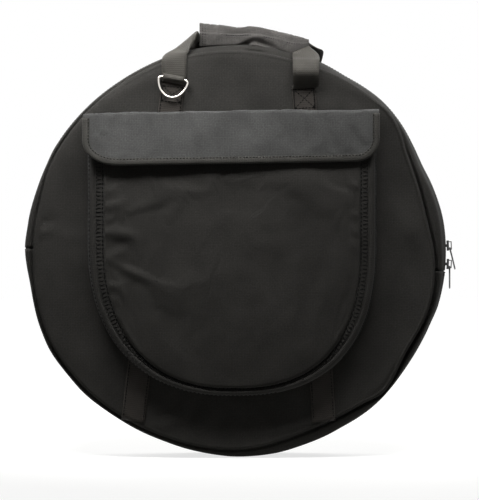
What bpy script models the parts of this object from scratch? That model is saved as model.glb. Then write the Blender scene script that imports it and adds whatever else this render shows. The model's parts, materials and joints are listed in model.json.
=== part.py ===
# A round padded bag for cymbals, in metres. It stands on its rim, its front faces -Y and +Z is up.
# The side band is swept about a level axis through the bag's middle. Angles are in degrees, from +X towards +Z.
# The origin is on the floor under the middle of the bag.
import math

import bmesh
import bpy
from mathutils import Matrix, Vector

# Body
body_radius = 0.287
body_centre_height = 0.274
half_depth = 0.046
shoulder_width = 0.014
shoulder_depth = 0.016
base_sink = 0.0036

# Wall layers and clearances
cloth = 0.0008
foam = 0.005
lining = 0.0005
fit_gap = 0.0003
seam_gap = 0.0004
weld_distance = 0.00001
overrun = 0.01

# Zip
zip_left_angle = 178.3
zip_right_angle = -4.6
strip_edge = 0.007
tape_reach = 0.017
tape_thickness = 0.0006
coil_width = 0.0035
coil_height = 0.0024
coil_inset = 0.0002
track_slack = 0.0008

# Sliders and pullers
upper_slider_angle = 2.4
lower_slider_angle = -2.6
slider_length = 0.014
slider_width = 0.011
plate_thickness = 0.0013
flange_width = 0.0009
post_width = 0.0024
post_length = 0.004
coil_notch_gap = 0.0005
bail_width = 0.0026
bail_length = 0.0115
bail_wall = 0.0012
bail_room = 0.003
puller_length = 0.031
puller_width = 0.009
puller_thickness = 0.0014
puller_window_width = 0.005
puller_window_length = 0.0088
puller_rest_gap = 0.00075
upper_puller_lean = 13.5
lower_puller_lean = 0.0

# Webbing
webbing_width = 0.032
webbing_thickness = 0.0015
left_webbing_top_x = -0.0906
left_webbing_bottom_x = -0.141
right_webbing_top_x = 0.0906
right_webbing_bottom_x = 0.1162
rear_webbing_top_x = 0.092
rear_webbing_bottom_x = 0.118
webbing_bottom_height = 0.045
left_root_drop = 0.033
right_root_drop = 0.045
rear_root_drop = 0.035

# Pocket
pocket_offset = -0.0073
pocket_half_width = 0.194
pocket_bottom_rise = 0.083
pocket_round_rise = 0.016
pocket_mouth_drop = 0.016
pocket_depth = 0.026
pocket_side_slope = 0.023
pocket_bottom_slope = 0.013
pocket_cloth = 0.001
pocket_fold_height = 0.024
pocket_roundness = 2.4
pocket_tape_width = 0.12
pocket_tape_height = 0.025
pocket_tape_drop = 0.009
pocket_tape_thickness = 0.0012

# Flap
flap_left_x = -0.205
flap_right_x = 0.188
flap_top_drop = 0.079
flap_drop = 0.070
flap_thickness = 0.004
flap_corner_radius = 0.030
flap_binding_width = 0.002
flap_binding_proud = 0.0004

# Handles and grip
grip_left_angle = 100.4
grip_right_angle = 70.2
grip_height = 0.025
grip_wall = 0.003
grip_front_share = 0.55
grip_strip_thickness = 0.001
grip_strip_height = 0.009
wrap_edge_gap = 0.0029
grip_rear_y = -0.010
strap_in_grip_share = 0.52
strap_end_margin = 1.4

# D-rings
ring_wire = 0.0032
ring_width = 0.0398
ring_drop = 0.0255
ring_bar_drop = 0.0035
ring_rest_lean = 5.0
loop_thickness = 0.0013
loop_tail = 0.030

loop_steps = 7
loop_start_angle = -50
loop_neck_share = 1.65
ring_steps = 12

# The cover's folding axis lies this far in front of the panel
cover_axis_forward = 0.014

# Steps round each curve
upper_steps = 30
lower_steps = 30
shoulder_steps = 3
pocket_steps = 16
grip_steps = 6
corner_steps = 5

seam_radius = body_radius - shoulder_width
seam_top_height = body_centre_height + seam_radius
flap_top_height = seam_top_height - flap_top_drop
webbing_top_height = flap_top_height
pocket_mouth_height = flap_top_height - pocket_mouth_drop
pocket_round_height = body_centre_height + pocket_round_rise
pocket_bottom_height = body_centre_height - seam_radius + pocket_bottom_rise
pocket_tape_top = pocket_mouth_height - pocket_tape_drop
crest_half_width = half_depth - shoulder_depth
foam_inset = cloth + fit_gap
lining_inset = foam_inset + foam + fit_gap
bag_axis = Vector((0, 0, body_centre_height))
fold_normal_angle = (zip_left_angle + zip_right_angle) / 2
fold_offset = body_radius * math.cos(math.radians(zip_left_angle - zip_right_angle) / 2)

finishes = {
    "cloth": ((0.035, 0.035, 0.036), 0.75, 0.0),
    "foam": ((0.10, 0.10, 0.10), 0.95, 0.0),
    "lining": ((0.02, 0.02, 0.022), 0.8, 0.0),
    "webbing": ((0.06, 0.058, 0.055), 0.7, 0.0),
    "binding": ((0.05, 0.048, 0.045), 0.7, 0.0),
    "tape": ((0.02, 0.02, 0.02), 0.8, 0.0),
    "metal": ((0.72, 0.70, 0.68), 0.25, 1.0),
    "dark_metal": ((0.16, 0.16, 0.16), 0.4, 1.0),
}


def clear_scene():
    for old in list(bpy.data.objects):
        bpy.data.objects.remove(old)


def new_collection(name, helper=False):
    made = bpy.data.collections.new(name)
    bpy.context.scene.collection.children.link(made)
    made.hide_render = helper
    return made


clear_scene()
bag = new_collection("cymbal_bag")
helpers = new_collection("cutters", helper=True)


def make_material(name, finish):
    colour, roughness, metallic = finishes[finish]
    made = bpy.data.materials.new(name)
    made.use_nodes = True
    shader = made.node_tree.nodes["Principled BSDF"]
    shader.inputs["Base Color"].default_value = (*colour, 1)
    shader.inputs["Roughness"].default_value = roughness
    shader.inputs["Metallic"].default_value = metallic
    return made


def add_node(name, bm, finish, origin=None):
    """Make one named piece of the bag, with its origin at the joint that moves it."""
    place = Vector(origin) if origin else Vector((0, 0, 0))
    bmesh.ops.recalc_face_normals(bm, faces=bm.faces)
    bmesh.ops.translate(bm, verts=bm.verts, vec=-place)
    mesh = bpy.data.meshes.new(name)
    bm.to_mesh(mesh)
    bm.free()
    mesh.materials.append(make_material(name, finish))
    made = bpy.data.objects.new(name, mesh)
    made.location = place
    bag.objects.link(made)
    return made


def evaluated_bmesh(made):
    """The object's mesh with its modifiers applied, and the object removed."""
    bpy.context.view_layer.update()
    graph = bpy.context.evaluated_depsgraph_get()
    mesh = bpy.data.meshes.new_from_object(made.evaluated_get(graph))
    bm = bmesh.new()
    bm.from_mesh(mesh)
    bmesh.ops.transform(bm, matrix=made.matrix_world, verts=bm.verts)
    bpy.data.objects.remove(made)
    bpy.data.meshes.remove(mesh)
    return bm


def helper_object(bm, name):
    mesh = bpy.data.meshes.new(name)
    bm.to_mesh(mesh)
    bm.free()
    made = bpy.data.objects.new(name, mesh)
    made.hide_render = True
    made.display_type = "WIRE"
    helpers.objects.link(made)
    return made


def polar(radius, y, angle):
    turn = math.radians(angle)
    return Vector((radius * math.cos(turn), y, body_centre_height + radius * math.sin(turn)))


def settled(point):
    """The bag's weight presses the rim below the zip down and flattens it on the floor."""
    start = polar(body_radius, 0, zip_right_angle).z
    squash = (start + base_sink) / (start - (body_centre_height - body_radius))

    def lowered(height):
        return height if height >= start else start - (start - height) * squash

    turn = math.atan2(point.z - body_centre_height, point.x)
    crest = lowered(body_centre_height + body_radius * math.sin(turn))
    return Vector((point.x, point.y, lowered(point.z) + max(0, -crest)))


def settle(bm):
    for vert in bm.verts:
        vert.co = settled(vert.co)
    return bm


def spun(section, start, end, steps):
    """Sweep a closed section of (radius, y) points about the bag's axis, with both ends filled."""
    bm = bmesh.new()
    verts = [bm.verts.new(polar(radius, y, start)) for radius, y in section]
    edges = [bm.edges.new((verts[i - 1], verts[i])) for i in range(len(verts))]
    bmesh.ops.spin(
        bm, geom=verts + edges, cent=bag_axis, axis=(0, -1, 0), angle=math.radians(end - start), steps=steps
    )
    bmesh.ops.holes_fill(bm, edges=[edge for edge in bm.edges if edge.is_boundary], sides=0)
    return bm


def plate(loops, front, rear):
    """A flat plate from outlines of (x, z) points, between two depths along Y."""
    curve = bpy.data.curves.new("outline", "CURVE")
    curve.dimensions = "2D"
    curve.fill_mode = "BOTH"
    curve.extrude = (rear - front) / 2
    for loop in loops:
        spline = curve.splines.new("POLY")
        spline.points.add(len(loop) - 1)
        for point, (x, z) in zip(spline.points, loop):
            point.co = (x, z, 0, 1)
        spline.use_cyclic_u = True
    made = bpy.data.objects.new("outline", curve)
    bag.objects.link(made)
    made.rotation_euler = (math.pi / 2, 0, 0)
    made.location = (0, (front + rear) / 2, 0)
    bm = evaluated_bmesh(made)
    bmesh.ops.remove_doubles(bm, verts=bm.verts, dist=weld_distance)
    return bm


def thickened(bm, thickness, offset):
    """Give an open sheet its thickness."""
    made = helper_object(bm, "sheet")
    solid = made.modifiers.new("thickness", "SOLIDIFY")
    solid.thickness = thickness
    solid.offset = offset
    solid.use_even_offset = True
    return evaluated_bmesh(made)


def drawn(path, travel):
    """Pull an open path of points sideways into a sheet."""
    bm = bmesh.new()
    verts = [bm.verts.new(point) for point in path]
    edges = [bm.edges.new((verts[i], verts[i + 1])) for i in range(len(verts) - 1)]
    grown = bmesh.ops.extrude_edge_only(bm, edges=edges)["geom"]
    moved = [item for item in grown if isinstance(item, bmesh.types.BMVert)]
    bmesh.ops.translate(bm, verts=moved, vec=travel)
    return bm


def keep_below(bm, point, normal):
    """Cut a closed solid by a plane, keep the side that the normal points away from and close the cut."""
    everything = bm.verts[:] + bm.edges[:] + bm.faces[:]
    bmesh.ops.bisect_plane(
        bm, geom=everything, dist=weld_distance, plane_co=point, plane_no=normal, clear_outer=True
    )
    bmesh.ops.holes_fill(bm, edges=[edge for edge in bm.edges if edge.is_boundary], sides=0)
    return bm


def box(low, high):
    """A box between two corners."""
    bm = bmesh.new()
    bmesh.ops.create_cube(bm, size=1)
    size = Vector(high) - Vector(low)
    middle = (Vector(high) + Vector(low)) / 2
    bmesh.ops.scale(bm, verts=bm.verts, vec=size)
    bmesh.ops.translate(bm, verts=bm.verts, vec=middle)
    return bm


def combined(base, others, operation):
    """Join or cut closed meshes with the exact solver."""
    made = helper_object(base, "base")
    tools = []
    for other in others:
        tool = helper_object(other, "tool")
        step = made.modifiers.new("join", "BOOLEAN")
        step.operation = operation
        step.solver = "EXACT"
        step.object = tool
        tools.append(tool)
    bm = evaluated_bmesh(made)
    for tool in tools:
        bpy.data.objects.remove(tool)
    return bm


def turned(bm, angle, axis, centre):
    matrix = Matrix.Rotation(math.radians(angle), 4, axis)
    bmesh.ops.rotate(bm, verts=bm.verts, cent=centre, matrix=matrix.to_3x3())
    return bm


# The folding line of the front cover, through both ends of the zip
fold_normal = (polar(body_radius, 0, fold_normal_angle) - bag_axis).normalized()
fold_direction = Vector((fold_normal.z, 0, -fold_normal.x))
fold_point = bag_axis + fold_normal * fold_offset
cover_hinge = fold_point - Vector((0, half_depth + cover_axis_forward, 0))


def upper_half(bm, gap=seam_gap / 2):
    return keep_below(bm, fold_point + fold_normal * gap, -fold_normal)


def lower_half(bm, gap=seam_gap / 2):
    return keep_below(bm, fold_point - fold_normal * gap, fold_normal)


# Side band
def skin_line(inset, start, end):
    """The wall's line at one depth below its outer face, as (radius, y) points from y = start to y = end.

    None stands for the seam with a panel.
    """
    rise = body_radius - inset - seam_radius
    reach = half_depth - inset - crest_half_width
    shoulder = []
    for i in range(shoulder_steps + 1):
        turn = math.pi / 2 * i / shoulder_steps
        shoulder.append((seam_radius + rise * math.sin(turn), crest_half_width + reach * math.cos(turn)))
    line = [(radius, -y) for radius, y in shoulder] if start is None else [(body_radius - inset, start)]
    if end is None:
        line += [(radius, y) for radius, y in reversed(shoulder)]
    else:
        line.append((body_radius - inset, end))
    return line


def band(depth, thickness, start, end, first, last, steps):
    """One layer of the side band between two angles."""
    outer = skin_line(depth, start, end)
    inner = skin_line(depth + thickness, start, end)
    return settle(spun(outer + inner[::-1], first, last, steps))


end_margin = math.degrees(seam_gap / 2 / body_radius)
upper_span = (zip_right_angle + end_margin, zip_left_angle - end_margin, upper_steps)
lower_span = (zip_left_angle + end_margin, zip_right_angle + 360 - end_margin, lower_steps)
layers = (
    ("", 0, cloth, "cloth"),
    ("_foam", foam_inset, foam, "foam"),
    ("_lining", lining_inset, lining, "lining"),
)


def make_side_band():
    foam_edge = tape_reach + fit_gap
    for suffix, depth, thickness, finish in layers:
        add_node("lower_gusset" + suffix, band(depth, thickness, None, None, *lower_span), finish)
        edge = strip_edge if not suffix else foam_edge
        name = "zip_strip" + suffix
        add_node("front_" + name, band(depth, thickness, None, -edge, *upper_span), finish, cover_hinge)
        add_node("rear_" + name, band(depth, thickness, edge, None, *upper_span), finish)


def ring_section(outer, height, near, far):
    return [(outer, near), (outer, far), (outer - height, far), (outer - height, near)]


def make_zip():
    tape_top = body_radius - foam_inset
    tape_near = coil_width + fit_gap
    coil_top = body_radius - coil_inset
    for name, side, origin in (("front", -1, cover_hinge), ("rear", 1, None)):
        tape = ring_section(tape_top, tape_thickness, side * tape_near, side * tape_reach)
        add_node(name + "_zip_tape", settle(spun(tape, *upper_span)), "tape", origin)
        coil = ring_section(coil_top, coil_height, side * fit_gap / 2, side * coil_width)
        notches = [slider_notch(angle) for angle in (upper_slider_angle, lower_slider_angle)]
        solid = combined(spun(coil, *upper_span), notches, "DIFFERENCE")
        add_node(name + "_zip_coil", settle(solid), "tape", origin)


# Sliders. They are drawn at angle 0, where the radius runs along X, and turned to their place.
plate_radius = body_radius - coil_inset + fit_gap
plate_top = plate_radius + plate_thickness
under_radius = body_radius - coil_inset - coil_height - fit_gap - track_slack
bail_top = plate_top + bail_room + bail_wall
pivot_radius = plate_top + bail_room / 2
pivot_drop = bail_length / 2 - bail_wall - puller_rest_gap - puller_thickness / 2


def slider_box(low_radius, high_radius, near, far, bottom, top):
    return box(
        (low_radius, near, body_centre_height + bottom), (high_radius, far, body_centre_height + top)
    )


def slider_notch(angle):
    """The room that the slider's post opens in the coils."""
    wide = post_width / 2 + coil_notch_gap
    long = post_length / 2 + coil_notch_gap
    cutter = slider_box(under_radius - overrun, plate_top + overrun, -wide, wide, -long, long)
    return turned(cutter, -angle, "Y", bag_axis)


def make_slider(name, angle, lean):
    half_width = slider_width / 2
    half_length = slider_length / 2
    merge = fit_gap / 4
    tape_top = body_radius - foam_inset
    flange_low = tape_top + fit_gap
    base = slider_box(plate_radius, plate_top, -half_width, half_width, -half_length, half_length)
    pieces = [
        slider_box(
            under_radius - plate_thickness, under_radius, -half_width, half_width, -half_length, half_length
        ),
        slider_box(
            under_radius - merge,
            plate_radius + merge,
            -post_width / 2,
            post_width / 2,
            -post_length / 2,
            post_length / 2,
        ),
    ]
    for side in (-1, 1):
        near, far = sorted((side * (half_width - flange_width), side * half_width))
        pieces.append(slider_box(flange_low, plate_radius + merge, near, far, -half_length, half_length))
        foot = side * (bail_length - bail_wall) / 2
        pieces.append(
            slider_box(
                plate_top - merge,
                bail_top - bail_wall / 2,
                -bail_width / 2,
                bail_width / 2,
                foot - bail_wall / 2,
                foot + bail_wall / 2,
            )
        )
    pieces.append(
        slider_box(
            bail_top - bail_wall,
            bail_top,
            -bail_width / 2,
            bail_width / 2,
            -bail_length / 2,
            bail_length / 2,
        )
    )
    body = turned(combined(base, pieces, "UNION"), -angle, "Y", bag_axis)
    add_node("zip_slider_" + name, body, "dark_metal", bag_axis)

    # The puller hangs from the bail by its window
    half = puller_thickness / 2
    wide = puller_width / 2
    tip = puller_length - half
    chamfer = puller_width / 4
    outline = [
        (-wide, half),
        (wide, half),
        (wide, chamfer - tip),
        (wide - chamfer, -tip),
        (chamfer - wide, -tip),
        (-wide, chamfer - tip),
    ]
    window_half = puller_window_width / 2
    window = [
        (-window_half, -half),
        (window_half, -half),
        (window_half, -half - puller_window_length),
        (-window_half, -half - puller_window_length),
    ]
    puller = turned(plate([outline, window], -half, half), 90, "Z", (0, 0, 0))
    pivot = bag_axis + Matrix.Rotation(math.radians(-angle), 3, "Y") @ Vector((pivot_radius, 0, -pivot_drop))
    turned(puller, -lean, "Y", (0, 0, 0))
    bmesh.ops.translate(puller, verts=puller.verts, vec=pivot)
    add_node("zip_puller_" + name, puller, "dark_metal", pivot)


# Panels
def disc_outline():
    """The panel's rim follows the same angles as the side band, so that their flats face each other."""
    angles = []
    for first, last, steps in (upper_span, lower_span):
        angles += [first + (last - first) * i / steps for i in range(steps + 1)]
    rim = [polar(seam_radius - seam_gap, 0, angle) for angle in angles]
    return [(point.x, point.z) for point in rim]


def make_panels():
    for suffix, depth, thickness, finish in layers:
        part = suffix or "_panel"
        outer = half_depth - depth
        inner = outer - thickness
        add_node("rear" + part, settle(plate([disc_outline()], inner, outer)), finish)
        for name, half, origin in (("_upper", upper_half, cover_hinge), ("_lower", lower_half, None)):
            disc = half(settle(plate([disc_outline()], -outer, -inner)))
            add_node("front" + part + name, disc, finish, origin)


# Webbing
def webbing_x(top_x, bottom_x, height):
    return bottom_x + (top_x - bottom_x) * (height - webbing_bottom_height) / (
        webbing_top_height - webbing_bottom_height
    )


def webbing_lean(top_x, bottom_x):
    return math.degrees(math.atan2(top_x - bottom_x, webbing_top_height - webbing_bottom_height))


def webbing_end(top_x, bottom_x):
    """The height at which the webbing goes into the bottom seam."""
    edge = max(abs(top_x), abs(bottom_x)) + webbing_width / 2
    seam = body_centre_height - math.sqrt((seam_radius - seam_gap) ** 2 - edge**2)
    return settled(Vector((edge, 0, seam))).z + webbing_width * abs(top_x - bottom_x) / webbing_top_height


def webbing_box(top_x, bottom_x, root, front, extra=0):
    """A strip of webbing on a panel, from the bottom seam up to its root."""
    end = webbing_end(top_x, bottom_x)
    lean = webbing_lean(top_x, bottom_x)
    middle = Vector((webbing_x(top_x, bottom_x, end), 0, end))
    length = (root - end) / math.cos(math.radians(lean))
    half = webbing_width / 2 + extra
    near = half_depth + fit_gap
    far = near + webbing_thickness + extra
    if extra:
        near = half_depth - extra
    low, high = (-far, -near) if front else (near, far)
    strip = box((middle.x - half, low, end), (middle.x + half, high, end + length))
    return turned(strip, lean, "Y", middle)


front_webbings = {
    "left": (left_webbing_top_x, left_webbing_bottom_x, seam_top_height - left_root_drop),
    "right": (right_webbing_top_x, right_webbing_bottom_x, seam_top_height - right_root_drop),
}
rear_webbings = {
    "left": (-rear_webbing_top_x, -rear_webbing_bottom_x, seam_top_height - rear_root_drop),
    "right": (rear_webbing_top_x, rear_webbing_bottom_x, seam_top_height - rear_root_drop),
}


def make_webbing():
    for name, place in front_webbings.items():
        node = "front_" + name + "_webbing"
        add_node(node + "_upper", upper_half(webbing_box(*place, True)), "webbing", cover_hinge)
        add_node(node + "_lower", lower_half(webbing_box(*place, True)), "webbing")
    for name, place in rear_webbings.items():
        add_node("rear_" + name + "_webbing", webbing_box(*place, False), "webbing")


# Pocket
def pocket_line(side_inset, bottom_inset):
    """The pocket's outline without its mouth, down the left side, round the bottom and up the right side."""
    half = pocket_half_width - side_inset
    drop = pocket_round_height - pocket_bottom_height - bottom_inset
    line = [(pocket_offset - half, pocket_mouth_height)]
    for i in range(pocket_steps + 1):
        turn = math.pi * i / pocket_steps
        across = math.copysign(abs(math.cos(turn)) ** (2 / pocket_roundness), math.cos(turn))
        down = abs(math.sin(turn)) ** (2 / pocket_roundness)
        line.append((pocket_offset - half * across, pocket_round_height - drop * down))
    line.append((pocket_offset + half, pocket_mouth_height))
    return line


pocket_base_y = -(half_depth + fit_gap)
pocket_edge_y = -(half_depth + pocket_depth)
pocket_front_y = pocket_edge_y - fit_gap - pocket_cloth
fold_gap = pocket_fold_height / 2


def pocket_gusset():
    """The sloping band between the panel and the pocket's front."""
    bm = bmesh.new()
    chains = []
    for line, y in (
        (pocket_line(0, 0), pocket_base_y),
        (pocket_line(pocket_side_slope, pocket_bottom_slope), pocket_edge_y),
    ):
        verts = [bm.verts.new((x, y, z)) for x, z in line]
        chains += [bm.edges.new((verts[i], verts[i + 1])) for i in range(len(verts) - 1)]
    bmesh.ops.bridge_loops(bm, edges=chains)
    bmesh.ops.recalc_face_normals(bm, faces=bm.faces)
    bm.faces.ensure_lookup_table()
    middle = Vector((pocket_offset, pocket_edge_y, pocket_round_height))
    lowest = min(bm.faces, key=lambda face: face.calc_center_median().z)
    if lowest.normal.dot(lowest.calc_center_median() - middle) < 0:
        bmesh.ops.reverse_faces(bm, faces=bm.faces)
    return keep_below(thickened(bm, pocket_cloth, -1), (0, pocket_base_y, 0), (0, 1, 0))


def pocket_front():
    return plate([pocket_line(pocket_side_slope, pocket_bottom_slope)], pocket_front_y, pocket_edge_y - fit_gap)


def pocket_slice():
    """The creased stretch of the pocket where the cover folds."""
    base = pocket_half_width
    edge = pocket_half_width - pocket_side_slope
    low = fold_point.z - pocket_fold_height - overrun
    inset = pocket_cloth / 2
    path = [
        Vector((pocket_offset - base + inset, pocket_base_y, low)),
        Vector((pocket_offset - edge + inset, pocket_front_y + inset, low)),
        Vector((pocket_offset + edge - inset, pocket_front_y + inset, low)),
        Vector((pocket_offset + base - inset, pocket_base_y, low)),
    ]
    return thickened(drawn(path, Vector((0, 0, 2 * (pocket_fold_height + overrun)))), pocket_cloth, 0)


def make_pocket():
    for name, side in (("left", 1), ("right", -1)):
        half = keep_below(upper_half(pocket_gusset(), fold_gap), (pocket_offset, 0, 0), (side, 0, 0))
        add_node("pocket_gusset_upper_" + name, half, "cloth", cover_hinge)
    cuts = [webbing_box(*place, True, extra=fit_gap) for place in front_webbings.values()]
    lower = combined(lower_half(pocket_gusset(), fold_gap), cuts, "DIFFERENCE")
    add_node("pocket_gusset_lower", lower, "cloth")
    add_node("pocket_front_upper", upper_half(pocket_front(), fold_gap), "cloth", cover_hinge)
    add_node("pocket_front_lower", lower_half(pocket_front(), fold_gap), "cloth")
    crease = lower_half(upper_half(pocket_slice(), fit_gap - fold_gap), fit_gap - fold_gap)
    back = pocket_base_y
    add_node("pocket_fold", keep_below(crease, (0, back, 0), Vector((0, 1, 0))), "cloth")
    tape_y = pocket_front_y - fit_gap
    half = pocket_tape_width / 2
    add_node(
        "pocket_loop_tape",
        box(
            (pocket_offset - half, tape_y - pocket_tape_thickness, pocket_tape_top - pocket_tape_height),
            (pocket_offset + half, tape_y, pocket_tape_top),
        ),
        "tape",
        cover_hinge,
    )


# Flap
hook_rear_y = pocket_front_y - 2 * fit_gap - pocket_tape_thickness
flap_rear_y = hook_rear_y - pocket_tape_thickness - fit_gap
flap_root_y = -(half_depth + fit_gap + webbing_thickness + fit_gap)
flap_root = Vector((0, flap_root_y, flap_top_height))
flap_corner = Vector((0, flap_rear_y, flap_top_height))


def flap_line(inset):
    """The flap's front outline, down the left side, along the bottom and up the right side."""
    radius = flap_corner_radius - inset
    left = flap_left_x + flap_corner_radius
    right = flap_right_x - flap_corner_radius
    low = flap_top_height - flap_drop + flap_corner_radius
    line = [(flap_left_x + inset, flap_top_height)]
    for centre, first in ((left, 180), (right, 270)):
        for i in range(corner_steps + 1):
            turn = math.radians(first + 90 * i / corner_steps)
            line.append((centre + radius * math.cos(turn), low + radius * math.sin(turn)))
    line.append((flap_right_x - inset, flap_top_height))
    return line


def make_flap():
    front_y = flap_rear_y - flap_thickness
    top = box(
        (flap_left_x, flap_rear_y + fit_gap, flap_top_height - flap_thickness),
        (flap_right_x, flap_root_y, flap_top_height),
    )
    add_node("flap_top", top, "cloth", flap_root)
    face = plate([flap_line(flap_binding_width + fit_gap)], front_y, flap_rear_y)
    add_node("pocket_flap", face, "cloth", flap_corner)
    edge = flap_line(0) + flap_line(flap_binding_width)[::-1]
    binding = plate([edge], front_y - flap_binding_proud, flap_rear_y)
    add_node("flap_binding", binding, "binding", flap_corner)
    half = pocket_tape_width / 2
    hook = box(
        (pocket_offset - half, hook_rear_y - pocket_tape_thickness, pocket_tape_top - pocket_tape_height),
        (pocket_offset + half, hook_rear_y, pocket_tape_top),
    )
    add_node("flap_hook_tape", hook, "tape", flap_corner)


# Grip
strap_room = 2 * webbing_thickness + 3 * fit_gap
grip_base = body_radius + fit_gap
grip_lid = grip_base + grip_height - grip_wall
pad_front_y = grip_rear_y - 2 * grip_wall - strap_room
strip_rear_y = pad_front_y - fit_gap
wrap_rear_y = strip_rear_y - 2 * grip_strip_thickness - 2 * fit_gap
wrap_front_y = wrap_rear_y - grip_wall
grip_span = (grip_right_angle, grip_left_angle, grip_steps)
grip_middle_angle = (grip_left_angle + grip_right_angle) / 2
strap_radius = (grip_base + grip_wall + grip_lid) / 2
wrap_hinge = polar(grip_lid, grip_rear_y, grip_middle_angle)


def make_grip():
    low = grip_base + grip_wall
    pad_top = grip_lid - fit_gap
    front_top = grip_base + grip_height * grip_front_share
    pad = [
        (grip_base, grip_rear_y),
        (grip_base, pad_front_y),
        (front_top, pad_front_y),
        (front_top, pad_front_y + grip_wall),
        (low, pad_front_y + grip_wall),
        (low, grip_rear_y - grip_wall),
        (pad_top, grip_rear_y - grip_wall),
        (pad_top, grip_rear_y),
    ]
    add_node("grip_pad", spun(pad, *grip_span), "webbing")
    wrap = [
        (grip_lid, grip_rear_y),
        (grip_base + grip_height, grip_rear_y),
        (grip_base + grip_height, wrap_front_y),
        (grip_base + wrap_edge_gap, wrap_front_y),
        (grip_base + wrap_edge_gap, wrap_rear_y),
        (grip_lid, wrap_rear_y),
    ]
    add_node("grip_wrap", spun(wrap, *grip_span), "webbing", wrap_hinge)
    hook_rear = strip_rear_y - grip_strip_thickness - fit_gap
    for name, rear, origin in (("loop", strip_rear_y, None), ("hook", hook_rear, wrap_hinge)):
        top = grip_base + wrap_edge_gap + grip_strip_height
        strip = ring_section(top, grip_strip_height, rear, rear - grip_strip_thickness)
        add_node("grip_" + name + "_strip", spun(strip, *grip_span), "tape", origin)


# Handle straps: each station is a centre and the direction of its width, in shares.
# x and the height above the middle are shares of the body's radius, y of the half depth,
# and the width direction is a share of half the webbing's width.
front_left_shares = (
    ((-0.2955, -1.09, 0.909), (0.995, 0.0, -0.1)),
    ((-0.2840, -1.06, 0.968), (0.93, 0.25, -0.2)),
    ((-0.2510, -0.87, 1.016), (0.5, 0.35, -0.55)),
    ((-0.2090, -0.64, 1.041), (0.1, 0.25, -0.75)),
)
front_right_shares = (
    ((0.3680, -0.80, 0.985), (-0.45, -0.25, -0.6)),
    ((0.3550, -1.10, 0.948), (-0.85, -0.12, -0.3)),
    ((0.3340, -1.15, 0.899), (-0.97, 0.0, -0.1)),
    ((0.3206, -1.13, 0.847), (-0.995, 0.0, 0.06)),
)
rear_left_shares = (
    ((-0.2990, 1.10, 0.909), (0.995, 0.0, -0.05)),
    ((-0.2850, 1.08, 0.975), (0.95, -0.1, -0.1)),
    ((-0.2650, 0.66, 0.982), (0.96, 0.0, 0.2)),
    ((-0.2440, 0.15, 0.990), (0.95, -0.1, 0.15)),
    ((-0.2180, -0.17, 1.016), (0.6, -0.25, -0.35)),
)
rear_right_shares = (
    ((0.3770, -0.10, 0.990), (-0.5, -0.25, -0.5)),
    ((0.3720, 0.26, 0.977), (-0.9, 0.0, 0.2)),
    ((0.3600, 0.78, 0.962), (-0.95, 0.0, 0.2)),
    ((0.3480, 1.10, 0.905), (-0.99, 0.0, 0.05)),
)


def strap_station(shares):
    (x, y, z), width = shares
    centre = Vector((x * body_radius, y * half_depth, body_centre_height + z * body_radius))
    return centre, Vector(width) * webbing_width / 2


def root_station(top_x, bottom_x, root, side, direction):
    """Where a strap leaves the top end of its webbing."""
    height = root + fit_gap
    lean = math.radians(webbing_lean(top_x, bottom_x))
    y = side * (half_depth + fit_gap + webbing_thickness / 2)
    centre = Vector((webbing_x(top_x, bottom_x, height), y, height))
    centre.z += webbing_width / 2 * abs(math.sin(lean))
    return centre, Vector((math.cos(lean), 0, -math.sin(lean))) * direction * webbing_width / 2


def strap(left_root, left_shares, y, right_shares, right_root):
    """A handle strap from panel to panel, through the grip."""
    stations = [left_root] + [strap_station(shares) for shares in left_shares]
    first = grip_left_angle + strap_end_margin
    last = grip_right_angle - strap_end_margin
    for i in range(grip_steps + 1):
        angle = first + (last - first) * i / grip_steps
        down = bag_axis - polar(webbing_width / 2 * strap_in_grip_share, 0, angle)
        stations.append((polar(strap_radius, y, angle), down))
    stations += [strap_station(shares) for shares in right_shares] + [right_root]
    bm = bmesh.new()
    rails = [(bm.verts.new(centre - half), bm.verts.new(centre + half)) for centre, half in stations]
    for (a, b), (c, d) in zip(rails, rails[1:]):
        bm.faces.new((a, b, d, c))
    return thickened(bm, webbing_thickness, 0)


def make_handles():
    front_y = pad_front_y + grip_wall + fit_gap + webbing_thickness / 2
    rear_y = front_y + webbing_thickness + fit_gap
    front = strap(
        root_station(*front_webbings["left"], -1, 1),
        front_left_shares,
        front_y,
        front_right_shares,
        root_station(*front_webbings["right"], -1, -1),
    )
    add_node("front_handle_strap", front, "webbing")
    rear = strap(
        root_station(*rear_webbings["left"], 1, 1),
        rear_left_shares,
        rear_y,
        rear_right_shares,
        root_station(*rear_webbings["right"], 1, -1),
    )
    add_node("rear_handle_strap", rear, "webbing")


# D-rings
loop_radius = ring_wire / 2 + fit_gap + loop_thickness / 2
bar_out = half_depth + fit_gap + webbing_thickness + fit_gap + loop_thickness / 2 + loop_radius


def ring_bar(place):
    top_x, bottom_x, root = place
    height = root - ring_bar_drop
    return Vector((webbing_x(top_x, bottom_x, height), -bar_out, height))


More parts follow.
